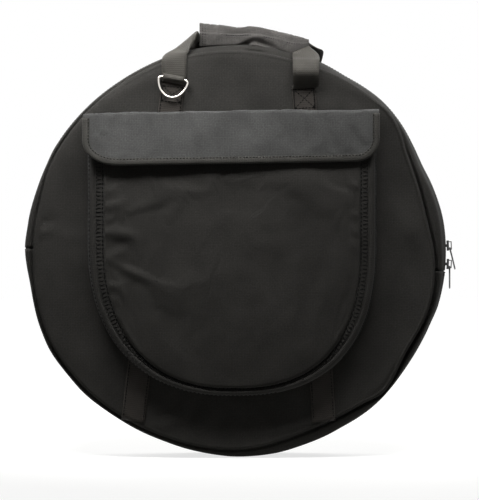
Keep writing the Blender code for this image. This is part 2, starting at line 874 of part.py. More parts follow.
def make_ring(name, place, rear):
    """A D-ring hanging in its fold of webbing, drawn for the front and turned round for the rear."""
    bar = ring_bar(place)
    lean = webbing_lean(place[0], place[1])
    front_layer = loop_radius - loop_thickness - fit_gap
    neck = -loop_radius * loop_neck_share
    path = [Vector((0, front_layer, -loop_tail)), Vector((0, front_layer, neck))]
    for i in range(loop_steps):
        angle = math.radians(loop_start_angle + (180 - loop_start_angle) * i / (loop_steps - 1))
        path.append(Vector((0, -loop_radius * math.cos(angle), loop_radius * math.sin(angle))))
    path.append(Vector((0, loop_radius, -loop_tail)))
    half = webbing_width / 2
    loop = drawn([point - Vector((half, 0, 0)) for point in path], Vector((webbing_width, 0, 0)))
    loop = thickened(loop, loop_thickness, 0)
    turned(loop, lean, "Y", (0, 0, 0))
    bmesh.ops.translate(loop, verts=loop.verts, vec=bar)

    curve = bpy.data.curves.new(name + "_d_ring", "CURVE")
    curve.dimensions = "3D"
    curve.bevel_depth = ring_wire / 2
    curve.bevel_resolution = 2
    turns = [math.pi * i / ring_steps for i in range(ring_steps + 1)]
    arc = [(math.cos(turn), math.sin(turn)) for turn in turns]
    points = [(ring_width / 2 * across, -ring_drop * down) for across, down in arc]
    corner = ring_wire / 2
    points = [(ring_width / 2 - corner, 0)] + [(x, z - corner) for x, z in points[:-1]]
    points += [(-ring_width / 2, -corner), (corner - ring_width / 2, 0)]
    spline = curve.splines.new("POLY")
    spline.points.add(len(points) - 1)
    for point, (x, z) in zip(spline.points, points):
        point.co = (x, 0, z, 1)
    spline.use_cyclic_u = True
    made = bpy.data.objects.new("ring", curve)
    helpers.objects.link(made)
    ring = evaluated_bmesh(made)
    bmesh.ops.remove_doubles(ring, verts=ring.verts, dist=weld_distance)
    turned(ring, -ring_rest_lean, "X", (0, 0, 0))
    turned(ring, lean, "Y", (0, 0, 0))
    bmesh.ops.translate(ring, verts=ring.verts, vec=bar)

    pivot = bar
    if rear:
        for piece in (loop, ring):
            turned(piece, 180, "Z", (0, 0, 0))
        pivot = Vector((-bar.x, -bar.y, bar.z))
    add_node(name + "_ring_loop", loop, "webbing", None if rear else cover_hinge)
    add_node(name + "_d_ring", ring, "metal", pivot)


make_side_band()
make_zip()
make_slider("upper", upper_slider_angle, upper_puller_lean)
make_slider("lower", lower_slider_angle, lower_puller_lean)
make_panels()
make_webbing()
make_pocket()
make_flap()
make_grip()
make_handles()
make_ring("front", front_webbings["left"], rear=False)
make_ring("rear", rear_webbings["left"], rear=True)
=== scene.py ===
import bisect
import json
import math

import bmesh
import bpy
from mathutils import Matrix, Vector, kdtree, noise


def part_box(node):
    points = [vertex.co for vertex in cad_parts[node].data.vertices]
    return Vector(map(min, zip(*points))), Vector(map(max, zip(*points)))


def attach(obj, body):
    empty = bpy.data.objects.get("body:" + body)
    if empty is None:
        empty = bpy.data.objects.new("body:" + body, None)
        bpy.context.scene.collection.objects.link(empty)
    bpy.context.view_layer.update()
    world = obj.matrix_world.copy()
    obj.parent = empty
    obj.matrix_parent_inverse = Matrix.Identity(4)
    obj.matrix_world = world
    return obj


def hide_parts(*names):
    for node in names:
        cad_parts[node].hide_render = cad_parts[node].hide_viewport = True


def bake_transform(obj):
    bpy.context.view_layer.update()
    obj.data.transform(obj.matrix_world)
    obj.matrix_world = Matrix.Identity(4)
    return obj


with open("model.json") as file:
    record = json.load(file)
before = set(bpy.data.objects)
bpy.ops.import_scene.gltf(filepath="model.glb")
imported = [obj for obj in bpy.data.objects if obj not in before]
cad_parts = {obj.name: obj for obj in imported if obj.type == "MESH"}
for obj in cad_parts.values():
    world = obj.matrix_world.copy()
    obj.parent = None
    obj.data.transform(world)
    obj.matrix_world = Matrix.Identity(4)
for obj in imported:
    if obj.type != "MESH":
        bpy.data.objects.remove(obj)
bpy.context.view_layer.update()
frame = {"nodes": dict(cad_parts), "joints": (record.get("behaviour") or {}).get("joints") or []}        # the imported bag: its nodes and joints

mm = 0.001
print("frame loaded")


# Camera, floor and light

view = {
    "place": (0.0027, -2.844, 0.280),
    "lens": 150,
    "sensor": 36,
}


def makeCamera():
    camera = bpy.data.cameras.new("photoCamera")
    camera.lens = view["lens"]
    camera.sensor_width = view["sensor"]
    made = bpy.data.objects.new("photoCamera", camera)
    made.location = view["place"]
    made.rotation_euler = (math.pi / 2, 0, 0)
    bpy.context.scene.collection.objects.link(made)
    bpy.context.scene.camera = made
    bpy.context.scene.view_settings.view_transform = "Standard"


def linear(hexColour):
    # sRGB hex to the linear values that the shaders take
    parts = [int(hexColour[i:i + 2], 16) / 255 for i in (1, 3, 5)]
    return tuple(c / 12.92 if c <= 0.04045 else ((c + 0.055) / 1.055) ** 2.4 for c in parts) + (1,)


def addNode(tree, kind, inputs=(), **settings):
    # One node: inputs are (socket, value or another node's output) pairs, settings are its own properties
    made = tree.nodes.new(kind)
    for key, value in settings.items():
        setattr(made, key, value)
    for socket, value in inputs:
        if isinstance(value, bpy.types.NodeSocket):
            tree.links.new(value, made.inputs[socket])
        else:
            made.inputs[socket].default_value = value
    return made


studio = {
    "floorColour": "#a2a2a0",
    "floorSize": 9,
    "floorGlow": (0.74, 1.0),    # near the bag, where its shadow shows, and far away
    "glowReach": (0.45, 1.3),    # distances from the bag between which the floor turns white
    "fillLevel": 0.022,
    "lamps": (
        # place, aim, size, watts, spread in degrees (a gridded softbox below 180)
        ((0.13, -0.44, 1.04), (0.06, -0.05, 0.52), (0.8, 0.2), 3.05, 94),
        ((-0.38, -0.42, 0.98), (-0.15, -0.08, 0.48), (0.2, 0.2), 0.72, 58),
        ((-0.5, -2.3, 0.9), (0, 0, 0.28), (1.6, 1.0), 0.6, 180),
        ((0.9, 1.1, 1.5), (0, 0, 0.3), (1.0, 1.0), 22, 180),
        ((-1.2, 0.9, 1.3), (0, 0, 0.3), (1.0, 1.0), 16, 180),
    ),
}


def seenDirectly(tree):
    # 1 for camera, glossy and transmission rays, so that metal shows the same white background as the camera
    path = addNode(tree, "ShaderNodeLightPath")
    seen = path.outputs["Is Camera Ray"]
    for ray in ("Is Glossy Ray", "Is Transmission Ray"):
        seen = addNode(tree, "ShaderNodeMath",
                       ((0, seen), (1, path.outputs[ray])), operation="MAXIMUM").outputs[0]
    return seen


def makeWorld():
    world = bpy.data.worlds.new("studio")
    bpy.context.scene.world = world
    world.use_nodes = True
    tree = world.node_tree
    tree.nodes.clear()
    level = addNode(tree, "ShaderNodeMapRange",
                    (("Value", seenDirectly(tree)), ("To Min", studio["fillLevel"]), ("To Max", 1.0)))
    background = addNode(tree, "ShaderNodeBackground",
                         (("Color", (1, 1, 1, 1)), ("Strength", level.outputs[0])))
    addNode(tree, "ShaderNodeOutputWorld", (("Surface", background.outputs[0]),))


def makeFloor():
    bm = bmesh.new()
    bmesh.ops.create_grid(bm, x_segments=1, y_segments=1, size=studio["floorSize"])
    mesh = bpy.data.meshes.new("floor")
    bm.to_mesh(mesh)
    bm.free()
    floor = bpy.data.objects.new("floor", mesh)
    bpy.context.scene.collection.objects.link(floor)
    paint = bpy.data.materials.new("matt paint floor")
    paint.use_nodes = True
    tree = paint.node_tree
    tree.nodes.clear()
    matt = addNode(tree, "ShaderNodeBsdfDiffuse", (("Color", linear(studio["floorColour"])),))
    place = addNode(tree, "ShaderNodeTexCoord").outputs["Object"]
    away = addNode(tree, "ShaderNodeVectorMath", ((0, place),), operation="LENGTH")
    near, far = studio["glowReach"]
    low, high = studio["floorGlow"]
    level = addNode(tree, "ShaderNodeMapRange",
                    (("Value", away.outputs["Value"]), ("From Min", near), ("From Max", far), ("To Min", low),
                     ("To Max", high)))
    glow = addNode(tree, "ShaderNodeMath",
                   ((0, seenDirectly(tree)), (1, level.outputs[0])), operation="MULTIPLY")
    light = addNode(tree, "ShaderNodeEmission", (("Strength", glow.outputs[0]),))
    both = addNode(tree, "ShaderNodeAddShader", ((0, matt.outputs[0]), (1, light.outputs[0])))
    addNode(tree, "ShaderNodeOutputMaterial", (("Surface", both.outputs[0]),))
    mesh.materials.append(paint)


def makeLamps():
    for i, (place, aim, size, watts, spread) in enumerate(studio["lamps"]):
        lamp = bpy.data.lights.new("softbox%d" % i, "AREA")
        lamp.shape = "RECTANGLE"
        lamp.size, lamp.size_y = size
        lamp.energy = watts
        lamp.spread = math.radians(spread)
        made = bpy.data.objects.new("softbox%d" % i, lamp)
        made.location = place
        made.rotation_euler = (Vector(aim) - Vector(place)).to_track_quat("-Z", "Y").to_euler()
        bpy.context.scene.collection.objects.link(made)


makeCamera()
makeWorld()
makeFloor()
makeLamps()
print("studio made")


# Materials. Patterns on cloth read the piece's own UV map "weave", which is in metres.

def waveScale(pitch):
    # A band wave repeats every 2 pi / 20 units at scale 1
    return math.pi / 10 / pitch


def startMaterial(name, colour, roughness, **sockets):
    made = bpy.data.materials.new(name)
    made.use_nodes = True
    shader = made.node_tree.nodes["Principled BSDF"]
    shader.inputs["Base Color"].default_value = linear(colour)
    shader.inputs["Roughness"].default_value = roughness
    for key, value in sockets.items():
        shader.inputs[key.replace("_", " ")].default_value = value
    return made, made.node_tree, shader


def patches(tree, coordinates, spread, size, detail):
    # A factor that wanders round 1 by a spread in soft patches of one size; noise mostly stays within 0.3 to
    # 0.7
    patch = addNode(tree, "ShaderNodeTexNoise",
                    (("Vector", coordinates), ("Scale", 1 / size), ("Detail", detail)))
    return addNode(tree, "ShaderNodeMapRange",
                   (("Value", patch.outputs["Fac"]), ("From Min", 0.3), ("From Max", 0.7),
                    ("To Min", 1 - spread), ("To Max", 1 + spread))).outputs[0]


def shaded(tree, colour, factor):
    # A colour made lighter and darker by a factor
    return addNode(tree, "ShaderNodeVectorMath",
                   ((0, colour), ("Scale", factor)), operation="SCALE").outputs["Vector"]


def wovenHeight(tree, uv, warp, weft):
    # Plain weave: warp threads on top in one half of the squares and weft threads in the other
    across = addNode(tree, "ShaderNodeTexWave",
                     (("Vector", uv), ("Scale", waveScale(warp))), bands_direction="X")
    along = addNode(tree, "ShaderNodeTexWave",
                    (("Vector", uv), ("Scale", waveScale(weft))), bands_direction="Y")
    squares = addNode(tree, "ShaderNodeTexChecker", (("Vector", uv), ("Scale", 1 / warp)))
    return addNode(tree, "ShaderNodeMix",
                   (("Factor", squares.outputs["Fac"]), ("A", across.outputs["Fac"]),
                    ("B", along.outputs["Fac"]))).outputs["Result"]


weaves = {
    # Woven black 600 denier polyester: matt with a slight sheen, greyer where it is worn or dusty
    "woven polyester": {"specular": 0.04, "sheen": 0.5, "patches": (0.16, 45 * mm, 4), "threads": (0.88, 1.12),
                        "slub": 0.16, "relief": 0.3 * mm},
    # Polypropylene webbing: ribs run along it, crossed by picks, with a dull shine on the ribs
    "polypropylene webbing": {"specular": 0.07, "sheen": 0.4, "patches": (0.12, 18 * mm, 3),
                              "threads": (0.72, 1.2), "slub": 0, "relief": 0.4 * mm},
}
cloths = {
    # colour, thread or pick pitch, rib pitch, roughness, bump. The polyester's threads lie 0.5 mm apart and
    # are drawn 2.2 mm apart so that they show.
    "woven polyester": {
        "panel": ("#2e2d2b", 2.2 * mm, 2.2 * mm, 0.72, 0.35),
        "band": ("#2e2d2b", 2.2 * mm, 2.2 * mm, 0.74, 0.35),
        "pocket": ("#2b2a28", 2.2 * mm, 2.2 * mm, 0.74, 0.35),
        # The flap is the same polyester as the panel; its lighter colour is painted light, for the overhead
        # light it catches
        "flap": ("#434342", 2.2 * mm, 2.2 * mm, 0.7, 0.35),
        "grip": ("#4a4846", 2.2 * mm, 2.2 * mm, 0.72, 0.35),
    },
    "polypropylene webbing": {
        "strap": ("#35322f", 1.3 * mm, 2.6 * mm, 0.62, 0.6),
        # The handle is the same webbing as the strap; its lighter colour is painted light from above, on the
        # handle straps and the ring loops
        "handle": ("#474541", 1.3 * mm, 2.6 * mm, 0.62, 0.6),
        "edging": ("#3b3a37", 1.2 * mm, 1.8 * mm, 0.66, 0.5),
        "piping": ("#2c2b29", 1.2 * mm, 2.2 * mm, 0.66, 0.5),
    },
}


def makeCloth(kind, name, colour, pick, rib, roughness, bump):
    facts = weaves[kind]
    made, tree, shader = startMaterial(kind + " " + name, colour, roughness, Sheen_Weight=0.03,
                                       Sheen_Roughness=facts["sheen"], Specular_IOR_Level=facts["specular"])
    uv = addNode(tree, "ShaderNodeUVMap", uv_map="weave").outputs["UV"]
    place = addNode(tree, "ShaderNodeTexCoord").outputs["Object"]
    height = wovenHeight(tree, uv, pick, rib)
    low, high = facts["threads"]
    shade = addNode(tree, "ShaderNodeMapRange",
                    (("Value", height), ("To Min", low), ("To Max", high))).outputs[0]
    if facts["slub"]:
        uneven = patches(tree, uv, facts["slub"], pick, 2)
        shade = addNode(tree, "ShaderNodeMath", ((0, shade), (1, uneven)), operation="MULTIPLY").outputs[0]
    base = shaded(tree, linear(colour)[:3], patches(tree, place, *facts["patches"]))
    tree.links.new(shaded(tree, base, shade), shader.inputs["Base Color"])
    lift = addNode(tree, "ShaderNodeBump",
                   (("Strength", bump), ("Distance", facts["relief"]), ("Height", height)))
    tree.links.new(lift.outputs["Normal"], shader.inputs["Normal"])
    return made


grained = {
    # colour, roughness, metallic, grain size, colour spread, bump distance
    "polyester taffeta lining": ("#26262a", 0.6, 0.0, 1.2 * mm, 0.12, 0.1 * mm),    # smooth, thin and dull
    "closed cell foam": ("#4a4a4b", 0.9, 0.0, 1.6 * mm, 0.2, 0.3 * mm),    # grey and pitted by its cells
    "nylon zip tape": ("#1d1d1e", 0.7, 0.0, 1.0 * mm, 0.25, 0.2 * mm),    # darker and finer than the cloth
    "nylon zip coil": ("#232323", 0.35, 0.0, 3.0 * mm, 0.1, 0.05 * mm),    # moulded wire, a little shiny
    "polyester thread": ("#0b0b0a", 0.6, 0.0, 0.8 * mm, 0.2, 0.1 * mm),    # black and twisted
    "nylon hook tape": ("#2a2a2b", 0.8, 0.0, 1.4 * mm, 0.4, 0.5 * mm),    # stiff hooks, a coarse speckle
    "nylon loop tape": ("#303031", 0.9, 0.0, 1.0 * mm, 0.5, 0.5 * mm),    # brushed pile, unevenly matt
    "nickel plated steel": ("#ded9d2", 0.16, 1.0, 6.0 * mm, 0.05, 0.02 * mm),    # bright and slightly warm
    "black oxide zinc": ("#4a4a4a", 0.32, 1.0, 2.5 * mm, 0.2, 0.05 * mm),    # cast, dark with worn edges
}


def makeGrained(name, colour, roughness, metallic, grain, spread, relief):
    # One material with the fine uneven surface of its kind, read from Object coordinates
    made, tree, shader = startMaterial(name, colour, roughness, Metallic=metallic)
    if not metallic:
        shader.inputs["Specular IOR Level"].default_value = 0.07
    place = addNode(tree, "ShaderNodeTexCoord").outputs["Object"]
    base = shaded(tree, linear(colour)[:3], patches(tree, place, spread, grain * 4, 4))
    tree.links.new(base, shader.inputs["Base Color"])
    fine = addNode(tree, "ShaderNodeTexNoise", (("Vector", place), ("Scale", 1 / grain), ("Detail", 3)))
    rough = addNode(tree, "ShaderNodeMapRange",
                    (("Value", fine.outputs["Fac"]), ("To Min", roughness * 0.8),
                     ("To Max", min(1, roughness * 1.2))))
    tree.links.new(rough.outputs[0], shader.inputs["Roughness"])
    lift = addNode(tree, "ShaderNodeBump",
                   (("Strength", 0.5), ("Distance", relief), ("Height", fine.outputs["Fac"])))
    tree.links.new(lift.outputs["Normal"], shader.inputs["Normal"])
    return made


materials = {}
for clothKind, clothList in cloths.items():
    for clothName, clothFacts in clothList.items():
        materials[clothName] = makeCloth(clothKind, clothName, *clothFacts)
for grainName, grainFacts in grained.items():
    materials[grainName] = makeGrained(grainName, *grainFacts)
print("materials made")


# Shared shapes

bag = {
    "centreHeight": 0.274,
    "halfDepth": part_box("rear_panel")[1].y,
    "bandDepth": 0.0440,         # half depth of the side band, just behind the rolled seams
    "crestHalfWidth": 0.028,
    "crestShare": 0.55,          # share of the band's half width that is the nearly flat crest
    "crestDrop": 0.0012,
    "shoulderPower": 0.75,
    "cloth": 0.0008,
    "foam": 0.005,
    "lining": 0.0005,
    "gap": 0.0003,
    "zipLeft": 178.3,
    "zipRight": -4.6,
    "stripEdge": 0.007,
    "stripEdgeInside": 0.0173,   # the foam and the lining keep clear of the slider
    "rimRadius": 0.287,
    "rearSeamRadius": 0.271,
    "rearTuck": 2.5 * mm,
    "slitWidth": 2.4 * mm,
}


def easeThrough(points):
    # A smooth line through (position, value) points, held level past both ends
    places = [place for place, value in points]

    def read(place):
        if place <= places[0]:
            return points[0][1]
        if place >= places[-1]:
            return points[-1][1]
        i = bisect.bisect_right(places, place) - 1
        before, after = points[max(i - 1, 0)], points[min(i + 2, len(points) - 1)]
        (p1, v1), (p2, v2) = points[i], points[i + 1]
        slopes = ((v2 - before[1]) / (p2 - before[0]) * (p2 - p1),
                  (after[1] - v1) / (after[0] - p1) * (p2 - p1))
        t = (place - p1) / (p2 - p1)
        return (v1 * (2 * t**3 - 3 * t**2 + 1) + slopes[0] * (t**3 - 2 * t**2 + t)
                + v2 * (3 * t**2 - 2 * t**3) + slopes[1] * (t**3 - t**2))
    return read


def easeRound(points):
    # The same round a full turn, from (angle, millimetres) points to metres
    turned = sorted((angle % 360, value * mm) for angle, value in points)
    turned = ([(a - 360, v) for a, v in turned[-2:]] + turned + [(a + 360, v) for a, v in turned[:2]])
    line = easeThrough(turned)
    return lambda angle: line(angle % 360)


# Distances from the bag's middle, in millimetres at angles from +X towards +Z: the front panel's sewn edge
# and the rim
frontSeam = easeRound((
    (37.5, 274.9), (30, 264.4), (18, 259.1), (10.3, 258.7), (-2.2, 265.5), (-15.9, 267.4), (-30.3, 262.1),
    (-43.2, 269.9), (-50, 262), (-58.3, 256.7), (-70.8, 255.3), (-90, 262), (-114.8, 264.3), (-140, 272.6),
    (-154, 277.2), (-165.8, 276.4), (177.4, 274.6), (166, 274.0), (153.9, 278.0), (140.9, 278.2),
    (128.9, 277.8), (104, 276.4), (90.7, 274.6), (74.3, 272.4), (60, 275.6), (49.9, 278.3), (43.4, 280.2),
))
crestRadius = easeRound((
    (90, 286.4), (121, 285.3), (135, 286.4), (149, 287.8), (155, 286), (161, 286.6), (172, 288),
    (177.5, 288.9), (183, 286.4), (-171.5, 284.6), (-159.5, 285.2), (-151, 285.4), (-142, 281.6),
    (-129, 277.3), (-118, 273.6), (-108, 272.6), (-96, 273.6), (-90, 274), (-76, 274.2), (-62, 274.4),
    (-48, 278), (-33, 277), (-20, 279.6), (-14, 282.6), (8, 285.2), (19.5, 282.4), (25.8, 280.4),
    (31.9, 282.4), (38.2, 285.6), (45.2, 287.4), (53.9, 285.6), (59.5, 284), (72, 286),
))
# How the front panel rounds back to its sewn edge: width and drop of the round, and a thin bright ridge on
# the right
edgeRound = easeRound((
    (60, 12), (100, 14), (165, 13), (178, 7), (200, 6), (300, 6), (340, 4), (20, 3.2), (44, 4),
))
edgeDrop = easeRound(((60, 4.2), (100, 4.8), (165, 4.0), (178, 2.8), (240, 2.6), (300, 2.6), (20, 2.4)))
edgeRidge = easeRound((
    (60, 0.2), (75, 0.8), (110, 0.8), (130, 0), (165, 0), (190, 0), (250, 0.5), (300, 0.9), (340, 0.9),
    (10, 1.3), (40, 1.1),
))
# How deep the sewn edge lies behind that round, and how far the band starts under it
edgeGroove = easeRound((
    (60, 0.3), (81, 0.3), (83, 2.0), (87, 2.0), (89, 0.3), (130, 0.4), (150, 1.2), (178, 2.0), (200, 1.6),
    (250, 1.6), (280, 2.2), (300, 4.0), (335, 5.4), (0, 5.4), (20, 4.4), (40, 2.0),
))
frontTuck = easeRound((
    (60, 0.6), (100, 0.6), (150, 1.0), (178, 1.5), (200, 1.5), (270, 2), (300, 3), (340, 3), (40, 2),
))
# The band in front of the zip: half width of its flat crest, the fall over it, and the power of its shoulder
frontCrest = easeRound((
    (60, 15), (90, 15), (120, 18), (150, 26), (270, 26), (300, 24), (0, 22), (20, 21), (40, 20),
))
frontFall = easeRound(((60, 1.2), (180, 1.4), (270, 1.2), (300, 2), (335, 4), (0, 6), (20, 6), (40, 3)))
shoulderPower = easeRound(((60, 1800), (110, 1700), (150, 900), (200, 800), (270, 900), (0, 850), (36, 950)))
# The slit beside the panel's edge, where the band dives before it comes out again
slitDepth = easeRound((
    (60, 0.5), (81, 0.5), (83, 4), (87, 4), (89, 0.5), (102, 0.5), (110, 4), (122, 5), (150, 5), (178, 5),
    (200, 5), (250, 5), (270, 4), (290, 4), (300, 6), (335, 8), (0, 9), (20, 7), (40, 3),
))


def rearSeam(angle):
    # The rear isn't seen: its seam is a calmer copy of the front one
    return 0.4 * frontSeam(180 - angle) + 0.6 * bag["rearSeamRadius"]


def polar(angle, radius, y):
    turn = math.radians(angle)
    return Vector((radius * math.cos(turn), y, bag["centreHeight"] + radius * math.sin(turn)))


def polarOf(x, z):
    return math.degrees(math.atan2(z - bag["centreHeight"], x)), math.hypot(x, z - bag["centreHeight"])


def swell(x, y, z, size, seed):
    return noise.noise(Vector((x / size + seed, y / size - seed, z / size + 2 * seed)))


def bandPoint(angle, across, inset=0.0):
    # The side band from the front seam (-1) over the crest (0) to the rear seam (1)
    crest = crestRadius(angle) - inset
    share = bag["crestShare"]
    reach = abs(across)
    if across < 0:
        flat, fall, power = frontCrest(angle), frontFall(angle), shoulderPower(angle)
        edge = frontSeam(angle) - frontTuck(angle)
        deep = bag["halfDepth"] - edgeDrop(angle) - edgeGroove(angle) - bag["gap"] - inset
    else:
        flat, fall, power = bag["crestHalfWidth"], bag["crestDrop"], bag["shoulderPower"]
        edge = rearSeam(angle) - bag["rearTuck"]
        deep = bag["bandDepth"] - inset
    if reach < share:
        y = flat * reach / share
        radius = crest - fall * (y / flat) ** 1.5
    else:
        turn = (reach - share) / (1 - share) * math.pi / 2
        y = flat + (deep - flat) * math.sin(turn)
        radius = edge + (crest - fall - edge) * max(0, math.cos(turn)) ** power
        if across < 0:
            beside = (radius - frontSeam(angle)) / bag["slitWidth"] - 0.6
            y -= slitDepth(angle) * math.exp(-beside * beside)
    # The cloth swells unevenly between the zip and the seams
    wide = min(1, max(0, (reach - 0.25) / 0.3)) * (1 - reach) * 4
    place = polar(angle, radius, 0)
    radius += wide * 0.9 * mm * swell(place.x, math.copysign(y, across), place.z, 0.055, 3.1)
    point = polar(angle, radius, math.copysign(y, across))
    point.z = max(point.z, inset + 0.0004)
    return point


def depthPoint(angle, y, inset=0.0):
    # A point on the band's flat crest at this depth
    flat = frontCrest(angle) if y < 0 else bag["crestHalfWidth"]
    return bandPoint(angle, y / flat * bag["crestShare"], inset)


def gridMesh(columns, rows, place, merge=False):
    # A grid laid over a surface: place(u, v) gives each corner and its (across, along) position on the cloth
    bm = bmesh.new()
    weave = bm.loops.layers.uv.new("weave")
    bmesh.ops.create_grid(bm, x_segments=columns, y_segments=rows, size=0.5)
    laid = {}
    for vert in bm.verts:
        laid[vert] = place(vert.co.x + 0.5, vert.co.y + 0.5)
    for face in bm.faces:
        for loop in face.loops:
            loop[weave].uv = laid[loop.vert][1]
    for vert, (point, flat) in laid.items():
        vert.co = point
    if merge:
        bmesh.ops.remove_doubles(bm, verts=bm.verts, dist=1e-6)
    return bm


def turnTowards(bm, direction):
    # Turn an open sheet's faces so that they look along a direction
    bm.normal_update()
    total = sum((face.normal * face.calc_area() for face in bm.faces), Vector())
    if total.dot(Vector(direction)) < 0:
        bmesh.ops.reverse_faces(bm, faces=bm.faces)
    return bm


def turnOutwards(bm, centre):
    # Turn an open sheet's faces away from a point
    bm.normal_update()
    if sum(face.normal.dot(face.calc_center_median() - centre) * face.calc_area() for face in bm.faces) < 0:
        bmesh.ops.reverse_faces(bm, faces=bm.faces)
    return bm


def jointOf(key, value):
    return next(joint for joint in frame["joints"] if joint[key] == value)


coverFold = jointOf("name", "cover_fold")
fold = {
    "start": Vector(coverFold["pos_m"]),
    "normal": Vector((-coverFold["axis"][2], 0, coverFold["axis"][0])),
    "reach": 0.12,               # the cloth above the fold that bends when the cover opens
}


def follow(piece, body):
    # "cover" (the bend between the bag and its opening front) and a pair of bodies leave the piece as it is,
    # with its transform baked in; any other body parents it to that body's empty
    if body == "cover":
        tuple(fold["start"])
        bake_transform(piece)
    elif isinstance(body, tuple):
        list(body[:2])
        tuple(body[2])
        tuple(body[3])
        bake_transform(piece)
    else:
        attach(piece, body)


def makePiece(name, bm, material, slot, body, replaces=(), wall=0.0, offset=-1, bevel=0.0, sharp=None):
    # One finished piece from its mesh, with its wall (at offset -1 to the inner side), material and body
    mesh = bpy.data.meshes.new(name)
    bm.to_mesh(mesh)
    bm.free()
    mesh.shade_smooth()
    if sharp:
        mesh.set_sharp_from_angle(angle=math.radians(sharp))
    mesh.materials.append(materials[material])
    piece = bpy.data.objects.new(name, mesh)
    bpy.context.scene.collection.objects.link(piece)
    if wall:
        made = piece.modifiers.new("wall", "SOLIDIFY")
        made.thickness = wall
        made.offset = offset
    if bevel:
        made = piece.modifiers.new("edges", "BEVEL")
        made.width = bevel
        made.segments = 2
        made.limit_method = "ANGLE"
    follow(piece, body)
    if replaces:
        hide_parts(*replaces)
    return piece


# Blender's cloth solver lets a sheet, cut a little too large, find its own wrinkles between the edges that
# hold it
settling = {
    "frames": 20,
    "quality": 5,
    "stiffness": 12,
    "bending": 0.4,
    "inwards": 0.4,              # share of its cap that a point may move towards the inside
}


def letSettle(bm, oversize, push, cap, hold):
    # hold says, from 0 to 1, how firmly the cloth is sewn down at a vertex; cap is the furthest that a point
    # moves
    scene = bpy.context.scene
    mesh = bpy.data.meshes.new("settling")
    bm.verts.index_update()
    bm.normal_update()
    bm.to_mesh(mesh)
    helper = bpy.data.objects.new("settling", mesh)
    scene.collection.objects.link(helper)
    sewn = helper.vertex_groups.new(name="sewn")
    for vert in bm.verts:
        sewn.add([vert.index], min(1, max(0, hold(vert))), "REPLACE")
    cloth = helper.modifiers.new("cloth", "CLOTH")
    facts = cloth.settings
    facts.quality = settling["quality"]
    facts.tension_stiffness = facts.compression_stiffness = settling["stiffness"]
    facts.bending_stiffness = settling["bending"]
    facts.vertex_group_mass = sewn.name
    facts.shrink_min = -oversize
    facts.use_pressure = True
    facts.uniform_pressure_force = push
    facts.effector_weights.gravity = 0
    cloth.collision_settings.use_collision = False
    cloth.point_cache.frame_start = 1
    cloth.point_cache.frame_end = settling["frames"]
    for step in range(1, settling["frames"] + 1):
        scene.frame_set(step)
    settled = helper.evaluated_get(bpy.context.evaluated_depsgraph_get())
    places = [vert.co.copy() for vert in settled.data.vertices]
    longest = 0
    for vert, place in zip(bm.verts, places):
        shift = place - vert.co
        inwards = -shift.dot(vert.normal)
        if inwards > settling["inwards"] * cap:
            shift += vert.normal * (inwards - settling["inwards"] * cap)
        longest = max(longest, shift.length)
        vert.co += shift * min(1, cap / max(shift.length, 1e-9))
    bpy.data.objects.remove(helper)
    bpy.data.meshes.remove(mesh)
    scene.frame_set(1)
    print("cloth settled, furthest %.1f mm" % (longest / mm))
    return bm


def nearRim(bm, reach):
    # How firmly a sheet is held near its open edge: fully at it, and not at all a reach away from it
    rim = kdtree.KDTree(sum(1 for vert in bm.verts if vert.is_boundary))
    for vert in bm.verts:
        if vert.is_boundary:
            rim.insert(vert.co, vert.index)
    rim.balance()
    return lambda vert: 1 - rim.find(vert.co)[2] / reach


# Side band: lower gusset and the two strips beside the zip, each with its foam and lining

band = {
    "stepsPerDegree": 1.3,
    "acrossSteps": 96,
    "seamGap": 0.16,             # degrees left between two pieces that meet
    "allowance": 1.6,            # degrees of cloth under that joint, to both sides
    "weaveWidth": 0.055,
}
layers = (
    ("", 0.0, bag["cloth"], "band", "cloth"),
    ("Foam", bag["cloth"] + bag["gap"], bag["foam"], "closed cell foam", "foam"),
    ("Lining", bag["cloth"] + bag["foam"] + 2 * bag["gap"], bag["lining"], "polyester taffeta lining",
     "lining"),
)    # name, depth under the cloth's face, wall, material, slot


def bandMesh(first, last, near, far, inset):
    # Round from one angle to another; across from one share (1 or -1 at the seams) or depth (in metres) to
    # another
    coarse = 1 if inset == 0 else 2
    steps = max(6, int(abs(last - first) * band["stepsPerDegree"] / coarse))
    rows = max(4, int(band["acrossSteps"] * (1 if abs(far) + abs(near) == 2 else 0.45) / coarse))

    def across(angle, edge):
        flat = frontCrest(angle) if edge < 0 else bag["crestHalfWidth"]
        return edge if abs(edge) == 1 else edge / flat * bag["crestShare"]

    def place(u, v):
        angle = first + (last - first) * u
        start, end = across(angle, near), across(angle, far)
        share = start + (end - start) * v
        flat = (math.radians(angle) * bag["rimRadius"], share * band["weaveWidth"])
        return bandPoint(angle, share, inset), flat
    return turnOutwards(gridMesh(steps, rows, place), Vector((0, 0, bag["centreHeight"])))


def makeBand():
    gap = band["seamGap"]
    upper = (bag["zipRight"] + gap, bag["zipLeft"] - gap)
    lower = (bag["zipLeft"] + gap, bag["zipRight"] + 360 - gap)
    for suffix, inset, wall, material, slot in layers:
        node = "_" + suffix.lower() if suffix else ""
        edge = bag["stripEdgeInside" if suffix else "stripEdge"]
        for name, turn, near, far, body, part in (
            ("lowerGusset", lower, -1, 1, "bag", "lower_gusset"),
            ("frontZipStrip", upper, -1, -edge, "cover", "front_zip_strip"),
            ("rearZipStrip", upper, edge, 1, "bag", "rear_zip_strip"),
        ):
            bm = bandMesh(*turn, near, far, inset)
            makePiece(name + suffix, bm, material, slot, body, (part + node,), wall=wall)
        if not suffix:
            # The tape that closes the joint between the gusset and the strips, clear of the slider in the
            # middle
            # The cloth under these joints takes the darker zip tape colour: painted shade in the notch at the
            # zip's ends
            turn = band["allowance"]
            for end, angle in (("left", bag["zipLeft"]), ("right", bag["zipRight"])):
                for side, near, far in (("Front", -1, -edge), ("Rear", edge, 1)):
                    allowance = bandMesh(angle - turn, angle + turn, near, far, wall + bag["gap"])
                    makePiece(end + "ZipEnd" + side, allowance, "nylon zip tape", "zip_tape", "bag",
                              wall=wall / 2)


makeBand()
print("side band made")


# Panels

